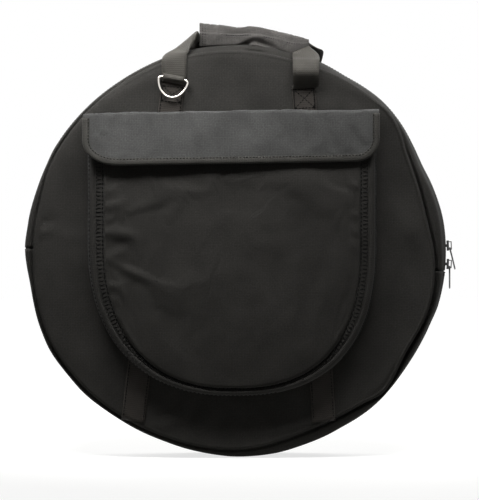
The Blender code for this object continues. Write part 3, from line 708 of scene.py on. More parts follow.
panel = {
    "aroundSteps": 240,
    # distances in from the sewn edge, in millimetres
    "rings": (0, 0.3, 0.7, 1.2, 1.8, 2.6, 3.4, 4.2, 5.0, 5.8, 6.8, 8.2, 10, 13, 17, 22, 28, 35, 43, 52, 62,
              73, 85, 98, 112, 127, 143, 160, 178, 197, 217, 238, 250),
    "innerRings": (5.5, 9, 14, 24, 40, 70, 110, 160, 215, 250),    # for the foam and the lining
    "seamTurn": 1.0 * mm,
    "relief": 1.5 * mm,
    "reliefSize": 0.085,
}
# Folds pressed into the front panel: x, z, direction in degrees, length, width, depth, in millimetres
panelFolds = (
    (-262, 314, 24, 30, 4.5, -3.4), (-262, 305, 12, 30, 5.0, 3.4), (-240, 352, 80, 60, 9.0, 1.8),
    (-225, 298, 5, 34, 8.0, 1.4), (-236, 262, 76, 40, 8.0, -1.2), (214, 330, -62, 60, 9.0, 1.6),
    (228, 300, 52, 34, 7.0, 1.3), (236, 262, -84, 46, 8.0, -1.4), (196, 108, 46, 52, 10, 1.8),
    (-196, 120, -42, 60, 10, 1.4), (-88, 52, 33, 46, 6, 2.4), (-96, 66, 33, 30, 6, -2.0),
    (-34, 62, 52, 46, 7, 2.4), (-56, 66, 56, 46, 7, -3.0), (22, 62, 48, 34, 7, -2.6), (60, 42, 4, 90, 8, 2.2),
    (150, 470, -36, 50, 9, 1.2), (-120, 505, 22, 70, 10, 1.2), (20, 486, 24, 40, 10, 1.4),
    (-4, 474, 30, 30, 8, -1.2),
)


def foldRelief(folds, x, z, under=1.0):
    # Each fold is a soft ridge (or a groove, where its depth is negative) along a short line, times under
    # wider below
    total = 0
    for fx, fz, direction, length, width, depth in folds:
        turn = math.radians(direction)
        dx, dz = x / mm - fx, z / mm - fz
        along = dx * math.cos(turn) + dz * math.sin(turn)
        across = dz * math.cos(turn) - dx * math.sin(turn)
        if across < 0:
            width *= under
        if abs(along) < length and abs(across) < 4 * width:
            total += depth * mm * math.exp(-(across / width) ** 2) * math.cos(along / length * math.pi / 2) ** 2
    return total


def panelFace(x, z, seam=frontSeam, folds=panelFolds, seed=1.0):
    # How far a panel's outer face stands out from its flat at this point
    angle, radius = polarOf(x, z)
    inwards = (seam(angle) - radius) / mm
    fade = min(1, max(0, (inwards - 4) / 14))
    if seam is frontSeam:
        wide, drop, ridge = edgeRound(angle) / mm, edgeDrop(angle), edgeRidge(angle)
    else:
        wide, drop, ridge = 6, 2.6 * mm, 0.5 * mm
    curve = max(0, 1 - max(0, inwards) / wide)
    out = ridge * math.exp(-((inwards - 3) / 1.6) ** 2) - drop * (1 - math.sqrt(1 - min(1, curve) ** 2))
    if inwards < 0.15:
        # The sewn edge itself turns back to the band
        out -= (edgeGroove(angle) if seam is frontSeam else 0) + panel["seamTurn"]
    out += fade * panel["relief"] * (swell(x, 0, z, panel["reliefSize"], seed) - 0.25)
    out += min(1, max(0, inwards - 5) / 4) * foldRelief(folds, x, z)
    return min(out, 2.6 * mm)


def panelDepth(x, z, side):
    # How far from the bag's middle plane a panel's face lies
    if side < 0:
        return bag["halfDepth"] + panelFace(x, z)
    return bag["halfDepth"] + panelFace(x, z, rearSeam, (), 4.0)


def discMesh(edge, rings, face, side):
    # A round sheet from rings, as distances in from its edge, and its face; side is -1 at the front
    columns = panel["aroundSteps"]

    def place(u, v):
        angle = 360 * u
        radius = edge(angle) - rings[round(v * (len(rings) - 1))] * mm
        if v == 1:
            radius = 0
        point = polar(angle, radius, 0)
        return Vector((point.x, side * face(point.x, point.z), point.z)), (point.x, point.z)
    bm = gridMesh(columns, len(rings) - 1, place, merge=True)
    return turnTowards(bm, (0, side, 0))


def makePanels():
    flat = bag["halfDepth"]
    for name, seam, side, body, nodes in (
        ("frontPanel", frontSeam, -1, "cover", ("front_panel_upper", "front_panel_lower")),
        ("rearPanel", rearSeam, 1, "bag", ("rear_panel",)),
    ):
        bm = discMesh(seam, panel["rings"], lambda x, z: panelDepth(x, z, side), side)
        makePiece(name, bm, "panel", "cloth", body, nodes, wall=bag["cloth"])
    for suffix, inset, wall, material, slot in layers[1:]:
        lower = suffix.lower()
        for name, seam, side, body, nodes in (
            ("front", frontSeam, -1, "cover", ("front_%s_upper" % lower, "front_%s_lower" % lower)),
            ("rear", rearSeam, 1, "bag", ("rear_" + lower,)),
        ):
            drop = inset + 2.0 * mm
            bm = discMesh(lambda angle: seam(angle) - (frontTuck(angle) if side < 0 else bag["rearTuck"]),
                          panel["innerRings"], lambda x, z: flat - drop, side)
            piece = makePiece(name + suffix, bm, material, slot, body, nodes, wall=wall)


makePanels()
print("panels made")


# Webbing down the panels

webbing = {
    "width": 0.032,
    "thickness": 0.0015,
    "topHeight": 0.468,          # the height at which topX is measured, and bottomX's below
    "bottomHeight": 0.045,
    "seamStop": 2.5 * mm,        # the webbing goes into the sewn edge this far inside it
    "sewnInset": 2.6 * mm,       # from its edges to the stitches
}
runs = {
    # x at the two heights, height of the top end, side
    "frontLeft": (-0.0906, -0.141, 0.514, -1),
    "frontRight": (0.0906, 0.1162, 0.502, -1),
    "rearLeft": (-0.092, -0.118, 0.512, 1),
    "rearRight": (0.092, 0.118, 0.512, 1),
}


def runX(run, z):
    top, bottom = run[:2]
    low, high = webbing["bottomHeight"], webbing["topHeight"]
    return bottom + (top - bottom) * (z - low) / (high - low)


def runLean(run):
    return math.atan2(run[0] - run[1], webbing["topHeight"] - webbing["bottomHeight"])


def runPoint(run, z, across, lift):
    # A point on a run of webbing, beside its middle line and lifted off its face
    lean = runLean(run)
    x = runX(run, z) + across * math.cos(lean)
    z -= across * math.sin(lean)
    depth = panelDepth(x, z, run[3]) + bag["gap"] + webbing["thickness"] + lift
    return Vector((x, run[3] * depth, z))


def seamHeight(run):
    # The height at which a run of webbing meets the sewn edge
    seam = frontSeam if run[3] < 0 else rearSeam
    z = webbing["bottomHeight"] + 0.02
    for i in range(60):
        angle, radius = polarOf(runX(run, z), z)
        if seam(angle) - radius < webbing["seamStop"]:
            break
        z -= 1 * mm
    return z


def runMesh(run):
    low = seamHeight(run)

    def place(u, v):
        off = (u - 0.5) * webbing["width"]
        up = (run[2] - low) * v
        return runPoint(run, low + up, off, -0.35 * mm * abs(2 * u - 1) ** 4), (off, up)
    return turnTowards(gridMesh(10, 130, place), (0, run[3], 0))


def makeRuns():
    for name, run in runs.items():
        side, hand = ("front", name[5:]) if run[3] < 0 else ("rear", name[4:])
        node = "%s_%s_webbing" % (side, hand.lower())
        nodes = (node + "_upper", node + "_lower") if run[3] < 0 else (node,)
        body = "cover" if run[3] < 0 else "bag"
        makePiece(name + "Webbing", runMesh(run), "strap", "webbing", body, nodes, wall=webbing["thickness"])


makeRuns()
print("webbing made")


# Stitches

thread = {
    # drawn more than twice as thick as sewing thread is, so that it shows
    "length": 3.2 * mm,
    "width": 1.3 * mm,
    "rise": 0.4 * mm,
    "pitch": 4.4 * mm,
}


def evenly(points, pitch):
    # Points a pitch apart along a line, each with the direction of the line there
    spots = []
    left = pitch / 2
    for start, end in zip(points, points[1:]):
        step = (end - start).length
        while left < step:
            spots.append((start.lerp(end, left / step), (end - start).normalized()))
            left += pitch
        left -= step
    return spots


def addStitch(bm, spot, along, out, length, width, rise):
    # One thread's bulge: a stretched twenty-sided ball
    along = along.normalized()
    out = (out - along * out.dot(along)).normalized()
    side = along.cross(out)
    shape = Matrix((along * length / 2, side * width / 2, out * rise)).transposed().to_4x4()
    bmesh.ops.create_icosphere(bm, subdivisions=1, radius=1, matrix=Matrix.Translation(spot) @ shape)


def makeStitches(name, lines, body, slot="binding", scale=1.0, pitch=None, long=1.0):
    # lines are (points, direction out of the cloth, turn of each stitch in degrees); long stretches the
    # stitches
    bm = bmesh.new()
    length, width, rise = (thread[key] * scale for key in ("length", "width", "rise"))
    for points, out, turn in lines:
        for i, (spot, along) in enumerate(evenly(points, pitch or thread["pitch"])):
            normal = out(spot) if callable(out) else Vector(out)
            if turn:
                along = Matrix.Rotation(math.radians(turn if i % 2 else -turn), 3, normal) @ along
            addStitch(bm, spot, along, normal, length * long, width, rise)
    return makePiece(name, bm, "polyester thread", slot, body)


# Pocket

pocket = {
    "offset": -0.0073,
    "halfWidth": 0.194,
    "bottom": 0.084,
    "roundHeight": 0.290,
    "mouth": 0.452,
    "sideSlope": 0.023,
    "bottomSlope": 0.013,
    "depth": 0.0262,
    "roundLeft": 2.3,
    "roundRight": 2.52,
    "cloth": 0.001,
    "puff": 1.6 * mm,
    "bottomPuff": 2.4 * mm,
    "piping": (0.05, 0.47),      # the shares across the side that the piping covers
    "pipingLow": 0.20,           # how much further it reaches along the bottom
    "pipingRise": (0.5 * mm, 2.0 * mm),    # down the sides and along the bottom
    "valley": 11.0 * mm,         # how deep the front sheet is sewn in along the bottom
    "straight": 0.18,            # the share of the outline that each straight side takes
    "mouthShare": 0.25,          # the share of the front sheet's edge that is its mouth
    "middleHeight": 0.30,
    "outlineLength": 0.95,
}
# The pocket side's section, from its root on the panel (0) to the front sheet's edge (1): share of the depth
pocketSide = easeThrough((
    (0, 0.0), (0.03, 0.10), (0.14, 0.66), (0.28, 0.88), (0.48, 0.95), (0.70, 0.97), (1, 1.0),
))


def pocketTurn(w):
    # The way round the bottom as an angle, from 0 under the left side to half a turn under the right side
    return (w - pocket["straight"]) / (1 - 2 * pocket["straight"]) * math.pi


def pocketOutline(w, q):
    # The outline at share q across the side; w goes from 0 to 1 down the left, round the bottom and up the
    # right
    half = pocket["halfWidth"] - pocket["sideSlope"] * q
    drop = pocket["roundHeight"] - pocket["bottom"] - pocket["bottomSlope"] * q
    straight = pocket["straight"]
    if w < straight:
        return -half, pocket["mouth"] + (pocket["roundHeight"] - pocket["mouth"]) * w / straight
    if w > 1 - straight:
        return half, pocket["mouth"] + (pocket["roundHeight"] - pocket["mouth"]) * (1 - w) / straight
    turn = pocketTurn(w)
    power = 2 / (pocket["roundLeft"] if turn < math.pi / 2 else pocket["roundRight"])
    across = math.copysign(abs(math.cos(turn)) ** power, math.cos(turn))
    return -half * across, pocket["roundHeight"] - drop * abs(math.sin(turn)) ** power


def bottomShare(w):
    # 0 down the pocket's sides, 1 along its bottom
    if not pocket["straight"] < w < 1 - pocket["straight"]:
        return 0
    return max(0, math.sin(pocketTurn(w)) - 0.35) / 0.65


def sideSpot(w, q, lift=0.0):
    x, z = pocketOutline(w, q)
    x += pocket["offset"]
    low = panelDepth(x, z, -1) + bag["gap"]
    depth = low + (bag["halfDepth"] + pocket["depth"] - low) * pocketSide(q)
    depth -= pocket["valley"] * bottomShare(w) * max(0, (q - 0.72) / 0.28) ** 1.5
    wave = 0.7 * mm * swell(x, 0, z, 0.022, 5.5) * q
    return Vector((x, -(depth + wave + lift), z))


# Puckers in the front sheet: x, z, direction, length, width, depth, in millimetres
pocketFolds = (
    # drawn in by the stitching down the left side
    (-170, 360, 24, 18, 3.5, 1.4), (-168, 340, 12, 28, 4.0, 2.3), (-172, 321, 8, 15, 3.5, 1.4),
    (-160, 303, -5, 44, 5.0, 3.6), (-165, 274, 20, 30, 4.0, 2.4), (-165, 233, 10, 26, 4.0, 2.2),
    (-172, 212, 16, 20, 4.0, 1.6), (-166, 190, 26, 24, 4.5, 1.4), (-152, 289, 4, 26, 5.0, -1.4),
    (-154, 258, -2, 20, 4.5, -1.6), (-128, 327, 14, 56, 8.0, -1.0), (-152, 247, -16, 16, 4.0, -0.9),
    # the long fold that runs down from the left
    (-137, 251, -23, 56, 4.5, 3.8), (-84, 230, -12, 48, 8.0, 2.2),
    # broad slack in the cloth
    (-104, 176, -40, 60, 12, 1.2), (-60, 140, -24, 70, 12, 1.0), (70, 150, 22, 80, 14, 1.2),
    (126, 230, 66, 80, 13, 1.1), (20, 318, 10, 120, 20, 1.2), (-10, 200, -8, 110, 18, 1.0),
    (90, 370, -14, 60, 12, 1.0), (-70, 366, 12, 60, 12, 0.9),
    # drawn in by the stitching down the right side
    (157, 366, -36, 12, 3.2, 1.7), (157, 328, -34, 12, 3.2, 1.5), (158, 305, -30, 11, 3.2, 1.4),
    (158, 286, -26, 12, 3.2, 1.6),
) + tuple((side * 172 - 7, 378 - 8.6 * i, 14 * math.sin(i * 1.7 + side), 9 + 3 * math.sin(i * 2.3), 2.6, 0.55)
          for i in range(24) for side in (-1, 1))


def pocketFace(x, z):
    # How far the front sheet stands out from the bag's middle plane
    return (bag["halfDepth"] + pocket["depth"] + bag["gap"] + pocket["cloth"]
            + 1.2 * mm * swell(x, 0, z, 0.075, 7.7) + foldRelief(pocketFolds, x, z, 2.0))


def underTape(x, z, reach=16 * mm):
    # 1 under the loop tape, falling to 0 a reach outside it
    low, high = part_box("pocket_loop_tape")
    away = math.hypot(max(0, low.x - x, x - high.x), max(0, low.z - z, z - high.z))
    return max(0, 1 - max(0, away - 2 * mm) / reach)


def pocketFrontMesh():
    columns, rows = 340, 74
    mouthShare, middle = pocket["mouthShare"], pocket["middleHeight"]
    tapeBack = -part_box("pocket_loop_tape")[1].y - 0.15 * mm

    def place(u, v):
        low = 0
        if u <= 1 - mouthShare:
            w = u / (1 - mouthShare)
            low = bottomShare(w)
            x, z = pocketOutline(w, 1 - 0.16 * low)
        else:
            half = pocket["halfWidth"] - pocket["sideSlope"]
            x, z = half * (1 - 2 * (u - 1 + mouthShare) / mouthShare), pocket["mouth"]
        share = 1 - v**1.3
        reach = math.hypot(x, z - middle) * v**1.3
        x, z = pocket["offset"] + x * share, middle + (z - middle) * share
        edge = bag["halfDepth"] + pocket["depth"] + bag["gap"] - 0.4 * mm - pocket["valley"] * low
        full = pocketFace(x, z) + pocket["puff"] * min(1, reach / 0.08) ** 0.6
        full += pocket["bottomPuff"] * low * (1 - v)
        rise = min(1, reach / 0.006)
        face = edge + (full - edge) * math.sqrt(1 - (1 - rise) ** 2)
        near = underTape(x, z)
        face += (min(face, tapeBack) - face) * near * near * (3 - 2 * near)
        return Vector((x, -face, z)), (x, z)
    return turnTowards(gridMesh(columns, rows, place, merge=True), (0, -1, 0))


def makePocket():
    middle = Vector((pocket["offset"], 0, pocket["middleHeight"]))
    length = pocket["outlineLength"]

    def place(u, v):
        return sideSpot(u, v), (u * length, v * 0.035)
    side = turnOutwards(gridMesh(300, 26, place), middle - Vector((0, bag["halfDepth"], 0)))
    nodes = ("pocket_gusset_lower", "pocket_gusset_upper_left", "pocket_gusset_upper_right", "pocket_fold")
    piece = makePiece("pocketSide", side, "pocket", "cloth", "cover", nodes, wall=pocket["cloth"])

    front = pocketFrontMesh()
    rim = nearRim(front, 10 * mm)

    def hold(vert):
        # Its sewn edge, and the even cloth right in the middle
        away = math.hypot(vert.co.x - middle.x, vert.co.z - middle.z)
        return max(rim(vert), 1 - (away - 12 * mm) / (20 * mm), underTape(vert.co.x, vert.co.z))
    front = letSettle(front, 0.004, 0.04, 1.2 * mm, hold)
    front = makePiece("pocketFront", front, "pocket", "cloth", "cover",
                      ("pocket_front_upper", "pocket_front_lower"), wall=pocket["cloth"])

    # The bound band along the side, a folded strip with a rounded back
    def bound(u, v):
        near, far = pocket["piping"]
        q = near + (far + pocket["pipingLow"] * bottomShare(u) - near) * v
        arch = math.sin(math.pi * v) ** 0.5
        flat, full = pocket["pipingRise"]
        lift = 0.3 * mm + (flat + (full - flat) * bottomShare(u)) * arch
        lift += 0.35 * mm * swell(u * 40, 0, v, 1.0, 2.2)
        # Where the lower left corner turns, the piping is drawn up into small knots
        knots = math.exp(-((u - 0.36) / 0.075) ** 2)
        lift += knots * arch * 1.3 * mm * math.sin(u * length / 0.0064 * math.pi) ** 2 * v
        return sideSpot(u, q, lift), (v * 0.011, u * length)
    edging = turnOutwards(gridMesh(560, 10, bound), middle)
    makePiece("pocketBinding", edging, "piping", "binding", "cover", wall=0.0006)

    ahead = Vector((0, -1, 0))
    steps = 260
    for name, q, turn, scale, pitch, long in (
        ("Ladder", 0.745, 84, 1.4, 5.4, 1.55),
        ("Inner", 0.955, 0, 1.5, 5.4, 1.0),
        ("Outer", 0.60, 0, 1.1, 4.6, 1.0),
    ):
        row = []
        for i in range(steps + 1):
            # Along the bottom the rows draw in towards the front sheet
            drawn = q + 0.14 * bottomShare(i / steps) * (0.95 - q) / 0.35
            row.append(sideSpot(i / steps, drawn, 0.3 * mm))
        makeStitches("pocket%sStitches" % name, [(row, ahead, turn)], "cover", scale=scale, pitch=pitch * mm,
                     long=long)

    def away(spot):
        return Vector((spot.x - pocket["offset"], -0.2, spot.z - pocket["middleHeight"]))
    # Black thread drawn large: on the left, real stitching whose dashes also paint the dark shade along the
    # seam; on the right, stitches overlapping into one black line, painted shade in the groove at the pocket's
    # root
    left = [sideSpot(i / steps, 0.15, 1.0 * mm) for i in range(int(steps * 0.55))]
    right = [sideSpot(1 - i / steps, 0.09, 0.6 * mm) for i in range(int(steps * 0.34))]
    makeStitches("pocketSeamLeft", [(left, ahead, 0)], "cover", scale=1.6, pitch=5.7 * mm, long=0.8)
    makeStitches("pocketRootShadeLine", [(right, away, 0)], "cover", scale=2.1, pitch=4.4 * mm)


makePocket()
print("pocket made")


# Flap

flap = {
    "left": -0.205,
    "right": 0.188,
    "drop": 0.070,
    "corners": ((0.048, 0.034), (0.030, 0.030)),    # width and height of the round, left and right
    "root": 0.0484,              # depth of the sewn root
    "front": 0.0806,             # depth of the front face
    "thickness": 0.0036,
    "foldRadius": 0.0055,
    "forward": (8.0 * mm, -1.0 * mm),    # how far the lower edge hangs forward, at the left and the right end
    "binding": 0.0085,
    "bindingWall": 0.0009,
}
flapTop = easeThrough((
    (-0.205, 0.4608), (-0.165, 0.4628), (-0.103, 0.4642), (0.04, 0.4660), (0.188, 0.4672),
))
flapBottom = easeThrough((
    (-0.205, 0.3915), (-0.1536, 0.3928), (0.0, 0.3953), (0.0965, 0.3970), (0.188, 0.3990),
))
flapFolds = (
    (-60, 430, 4, 90, 12, 1.1), (70, 436, -3, 110, 13, -0.9), (-150, 425, 70, 30, 12, 0.9),
    (140, 424, -66, 30, 12, 0.8), (10, 410, 0, 150, 7, 0.6),
)


def flapEdge(x):
    # The height of the flap's lower edge, rounded up at both corners
    rise = 0
    for near, (wide, high) in zip((x - flap["left"], flap["right"] - x), flap["corners"]):
        short = min(1, max(0, 1 - near / wide))
        rise += high * (1 - math.sqrt(1 - short**2))
    return flapBottom(x) + rise


def flapFace(x, z):
    # Depth of the flap's front face: it hangs a little forward at its lower edge
    down = (flapTop(x) - z) / flap["drop"]
    right = (x - flap["left"]) / (flap["right"] - flap["left"])
    forward = flap["forward"][0] + (flap["forward"][1] - flap["forward"][0]) * max(0, right) ** 1.7
    slack = 0.9 * mm * swell(x, 0, z, 0.06, 9.1) * min(1, max(0, down) * 4)
    return (flap["front"] - 0.0012 + forward * down + slack
            + foldRelief(flapFolds, x, z) * min(1, max(0, 1 - down) * 5))


def flapMesh():
    # Columns run across; rows run from the root over the fold and down to the lower edge
    rootRows, foldRows, downRows = 6, 6, 26
    rows = rootRows + foldRows + downRows
    radius = flap["foldRadius"]

    def place(u, v):
        share = 0.5 - 0.5 * math.cos(math.pi * u)
        share = 0.35 * share + 0.65 * u
        x = flap["left"] + (flap["right"] - flap["left"]) * share
        top, step = flapTop(x), round(v * rows)
        face = flapFace(x, top - radius)
        if step <= rootRows:
            part = step / rootRows
            y = flap["root"] + (face - radius - flap["root"]) * part
            return Vector((x, -y, top - 1.2 * mm * math.sin(math.pi * part))), (x, y)
        if step <= rootRows + foldRows:
            turn = (step - rootRows) / foldRows * math.pi / 2
            y = face - radius + radius * math.sin(turn)
            return Vector((x, -y, top - radius + radius * math.cos(turn))), (x, face + turn * radius)
        part = (step - rootRows - foldRows) / downRows
        z = (top - radius) + (flapEdge(x) - top + radius) * part
        return Vector((x, -flapFace(x, z), z)), (x, face + 0.01 + top - z)
    bm = gridMesh(110, rows, place)
    return turnOutwards(bm, Vector((0, -0.06, 0.44)))


def flapRim(count=150):
    # The flap's edge, down the left side, along the bottom and up the right side, with the inward direction
    line = []
    top = flapTop(flap["left"]) - flap["foldRadius"]
    low = flapBottom(flap["left"]) + flap["corners"][0][1]
    for i in range(9):
        line.append((flap["left"], top + (low - top) * i / 8))
    for i in range(1, count):
        share = 0.5 - 0.5 * math.cos(math.pi * i / count)
        x = flap["left"] + (flap["right"] - flap["left"]) * share
        line.append((x, flapEdge(x)))
    top = flapTop(flap["right"]) - flap["foldRadius"]
    low = flapBottom(flap["right"]) + flap["corners"][1][1]
    for i in range(9):
        line.append((flap["right"], low + (top - low) * i / 8))
    rim = []
    for i, (x, z) in enumerate(line):
        ahead, behind = line[min(i + 1, len(line) - 1)], line[max(i - 1, 0)]
        along = Vector((ahead[0] - behind[0], ahead[1] - behind[1])).normalized()
        rim.append((x, z, Vector((-along.y, along.x))))
    return rim


def makeFlap():
    hinge = jointOf("name", "flap_fold")
    corner = Vector(hinge["pos_m"])
    bend = ("flap_top", "flap_front", corner + Vector((0, 0.012, 0)), corner + Vector((0, 0.002, -0.012)))
    cloth = flapMesh()
    cloth = letSettle(cloth, 0.008, 0.04, 1.5 * mm, nearRim(cloth, 16 * mm))
    # The flap's shell takes the lighter "flap" colour: painted light from above
    shell = makePiece("flapShell", cloth, "flap", "cloth", bend, ("flap_top", "pocket_flap"),
                      wall=flap["thickness"])

    rim = flapRim()
    wide, wall = flap["binding"], flap["bindingWall"]
    back = -flap["thickness"]
    # The binding's section, closed round the edge: distance in from it and depth in front of the flap's face
    section = (
        (wide, 0.1 * mm), (wide * 0.96, wall), (wide * 0.5, wall * 1.25), (1.5 * mm, wall * 1.1),
        (-0.3 * mm, 0.1 * mm), (-1.0 * mm, back / 2), (-0.3 * mm, back - 0.1 * mm), (1.5 * mm, back - wall),
        (wide * 0.9, back - wall), (wide, back - 0.1 * mm),
    )

    def place(u, v):
        x, z, inward = rim[round(u * (len(rim) - 1))]
        deep, out = section[round(v * (len(section) - 1))]
        px, pz = x + inward.x * deep, z + inward.y * deep
        y = flapFace(min(max(px, flap["left"]), flap["right"]), max(pz, flapBottom(px))) + out
        return Vector((px, -y, pz)), (v * 0.02, u * 0.52)
    edging = gridMesh(len(rim) - 1, len(section) - 1, place)
    turnOutwards(edging, Vector((0, -flap["front"] + 2 * mm, 0.432)))
    makePiece("flapBinding", edging, "edging", "binding", bend, ("flap_binding",), wall=0.0004)

    row = []
    for x, z, inward in rim:
        px, pz = x + inward.x * (wide - 1.3 * mm), z + inward.y * (wide - 1.3 * mm)
        row.append(Vector((px, -flapFace(px, pz) - wall - 0.1 * mm, pz)))
    makeStitches("flapBindingStitches", [(row, (0, -1, 0), 0)], bend)


def tapeMesh(node):
    # Hook or loop tape with rounded corners, in its CAD node's place
    low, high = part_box(node)
    bm = bmesh.new()
    bmesh.ops.create_cube(bm, size=1)
    bmesh.ops.scale(bm, verts=bm.verts, vec=high - low)
    bmesh.ops.translate(bm, verts=bm.verts, vec=(low + high) / 2)
    upright = [edge for edge in bm.edges if abs((edge.verts[0].co - edge.verts[1].co).y) > 0.5 * mm]
    bmesh.ops.bevel(bm, geom=upright, offset=4 * mm, segments=4, affect="EDGES", profile=0.5, material=-1)
    return bm


def makeTapes():
    for name, node, material, body in (
        ("pocketLoopTape", "pocket_loop_tape", "nylon loop tape", "front_cover"),
        ("flapHookTape", "flap_hook_tape", "nylon hook tape", "flap_front"),
    ):
        makePiece(name, tapeMesh(node), material, "hook_and_loop", body, (node,), bevel=0.3 * mm, sharp=40)


makeFlap()
makeTapes()
print("flap made")


# Grip

grip = {
    "left": -0.0514,
    "topSpan": 0.1480,
    "bottomSpan": 0.1470,
    "columns": 90,
    # radii about the bag's axis: the pad's underside, the strips on it, the straps' line and the arch under
    # them
    "padRadius": 0.2878,
    "stripRadius": 0.2902,
    "strapRadius": 0.2985,
    "archRadius": 0.2872,
    "front": 0.0284,
}
gripTop = easeThrough((
    (-0.0514, 0.5882), (-0.021, 0.5843), (0.0034, 0.5820), (0.0176, 0.5832), (0.05, 0.5775), (0.0967, 0.5655),
))
gripBottom = easeThrough((
    (-0.0514, 0.5548), (-0.0095, 0.5564), (0.016, 0.5564), (0.0339, 0.5546), (0.060, 0.5490), (0.076, 0.5452),
    (0.0956, 0.5530),
))
# Folds in the wrap's front: x, z, direction, length, width, depth, in millimetres
gripFolds = (
    (12, 558.5, 22, 20, 3.4, -5.0), (36, 558.5, -16, 24, 3.4, -5.0), (22, 567, 6, 24, 4.0, 2.2),
    (-30, 566, 60, 14, 4.0, 0.8), (52, 558, -40, 14, 3.4, 0.9), (70, 560, 50, 12, 3.4, -0.8),
)
# The wrap's section, from its sewn rear edge over the top and down the front: depth, share of the height
wrapSection = (
    (0.0103, 0.80), (0.0102, 0.90), (0.0118, 0.965), (0.0150, 1.0), (0.0190, 0.995), (0.0228, 0.955),
    (0.0252, 0.88), (0.0262, 0.76), (0.0263, 0.63), (0.0267, 0.585), (0.0281, 0.565), (0.0284, 0.50),
    (0.0284, 0.42), (0.0283, 0.34), (0.0281, 0.25), (0.0279, 0.16), (0.0276, 0.10), (0.0272, 0.04),
    (0.0262, 0.0),
)


def roundHeight(x, radius):
    # The height over x of a circle about the bag's axis
    return bag["centreHeight"] + math.sqrt(radius**2 - x * x)


def wrapMesh():
    rows = len(wrapSection) - 1

    def place(u, v):
        depth, share = wrapSection[round(v * rows)]
        topX = grip["left"] + grip["topSpan"] * u
        lowX = grip["left"] + grip["bottomSpan"] * u
        x = lowX + (topX - lowX) * min(1, share / 0.45)
        high, low = gripTop(topX), gripBottom(lowX)
        z = low + (high - low) * share
        depth += 0.8 * mm * swell(x, share * 0.02, 0, 0.02, 6.3)
        if depth > 0.022:
            depth += foldRelief(gripFolds, x, z)
        return Vector((x, -depth, z)), (x, v * 0.06)
    return turnOutwards(gridMesh(grip["columns"], rows, place), Vector((0.02, -0.018, 0.566)))


def padMesh():
    # The inner pad, from the front lip under the straps and up the rear
    section = ((0.0199, 0.42), (0.0201, 0.22), (0.0194, 0.04), (0.0170, 0.0), (0.0130, 0.0), (0.0106, 0.04),
               (0.0099, 0.25), (0.0099, 0.60), (0.0104, 0.80), (0.0125, 0.86))
    rows = len(section) - 1

    def place(u, v):
        depth, share = section[round(v * rows)]
        x = grip["left"] + 0.002 + (grip["topSpan"] - 0.006) * u
        low = roundHeight(x, grip["padRadius"])
        z = low + (gripTop(x) - 2.5 * mm - low) * share / 0.86
        return Vector((x, -depth, z)), (x, v * 0.06)
    return turnOutwards(gridMesh(grip["columns"], rows, place), Vector((0.02, -0.015, 0.570)))


def makeGrip():
    cloth = wrapMesh()
    cloth = letSettle(cloth, 0.014, 0.04, 1.6 * mm, nearRim(cloth, 8 * mm))
    wrap = makePiece("gripWrap", cloth, "grip", "grip_cloth", "grip_wrap", ("grip_wrap",), wall=2.4 * mm)
    cloth = padMesh()
    cloth = letSettle(cloth, 0.010, 0.02, 0.6 * mm, nearRim(cloth, 8 * mm))
    pad = makePiece("gripPad", cloth, "grip", "grip_cloth", "front_handle", ("grip_pad",), wall=2.4 * mm)
    for name, node, material, body in (
        ("gripLoopStrip", "grip_loop_strip", "nylon loop tape", "front_handle"),
        ("gripHookStrip", "grip_hook_strip", "nylon hook tape", "grip_wrap"),
    ):
        low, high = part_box(node)

        def place(u, v, low=low, high=high):
            x = low.x + (high.x - 4 * mm - low.x) * u
            base = roundHeight(x, grip["stripRadius"])
            return Vector((x, low.y, base + 9 * mm * v)), (x, v * 0.009)
        bm = turnTowards(gridMesh(40, 3, place), (0, -1, 0))
        makePiece(name, bm, material, "hook_and_loop", body, (node,), wall=high.y - low.y)
    columns = []
    for share in (0.028, 0.052):
        column = []
        for depth, height in wrapSection[4:]:
            x = grip["left"] + grip["topSpan"] * share
            z = gripBottom(x) + (gripTop(x) - gripBottom(x)) * height
            column.append(Vector((x, -depth - 0.1 * mm, z)))
        columns.append((column, (0, -1, 0.2), 0))
    edge = []
    for i in range(61):
        u = i / 60
        topX = grip["left"] + grip["topSpan"] * u
        low = gripBottom(grip["left"] + grip["bottomSpan"] * u)
        edge.append(Vector((topX, -grip["front"], low + (gripTop(topX) - low) * 0.53)))
    columns.append((edge, (0, -1, 0), 0))
    makeStitches("gripStitches", columns, "grip_wrap", slot="grip_cloth", scale=0.8, pitch=3.2 * mm)


makeGrip()
print("grip made")


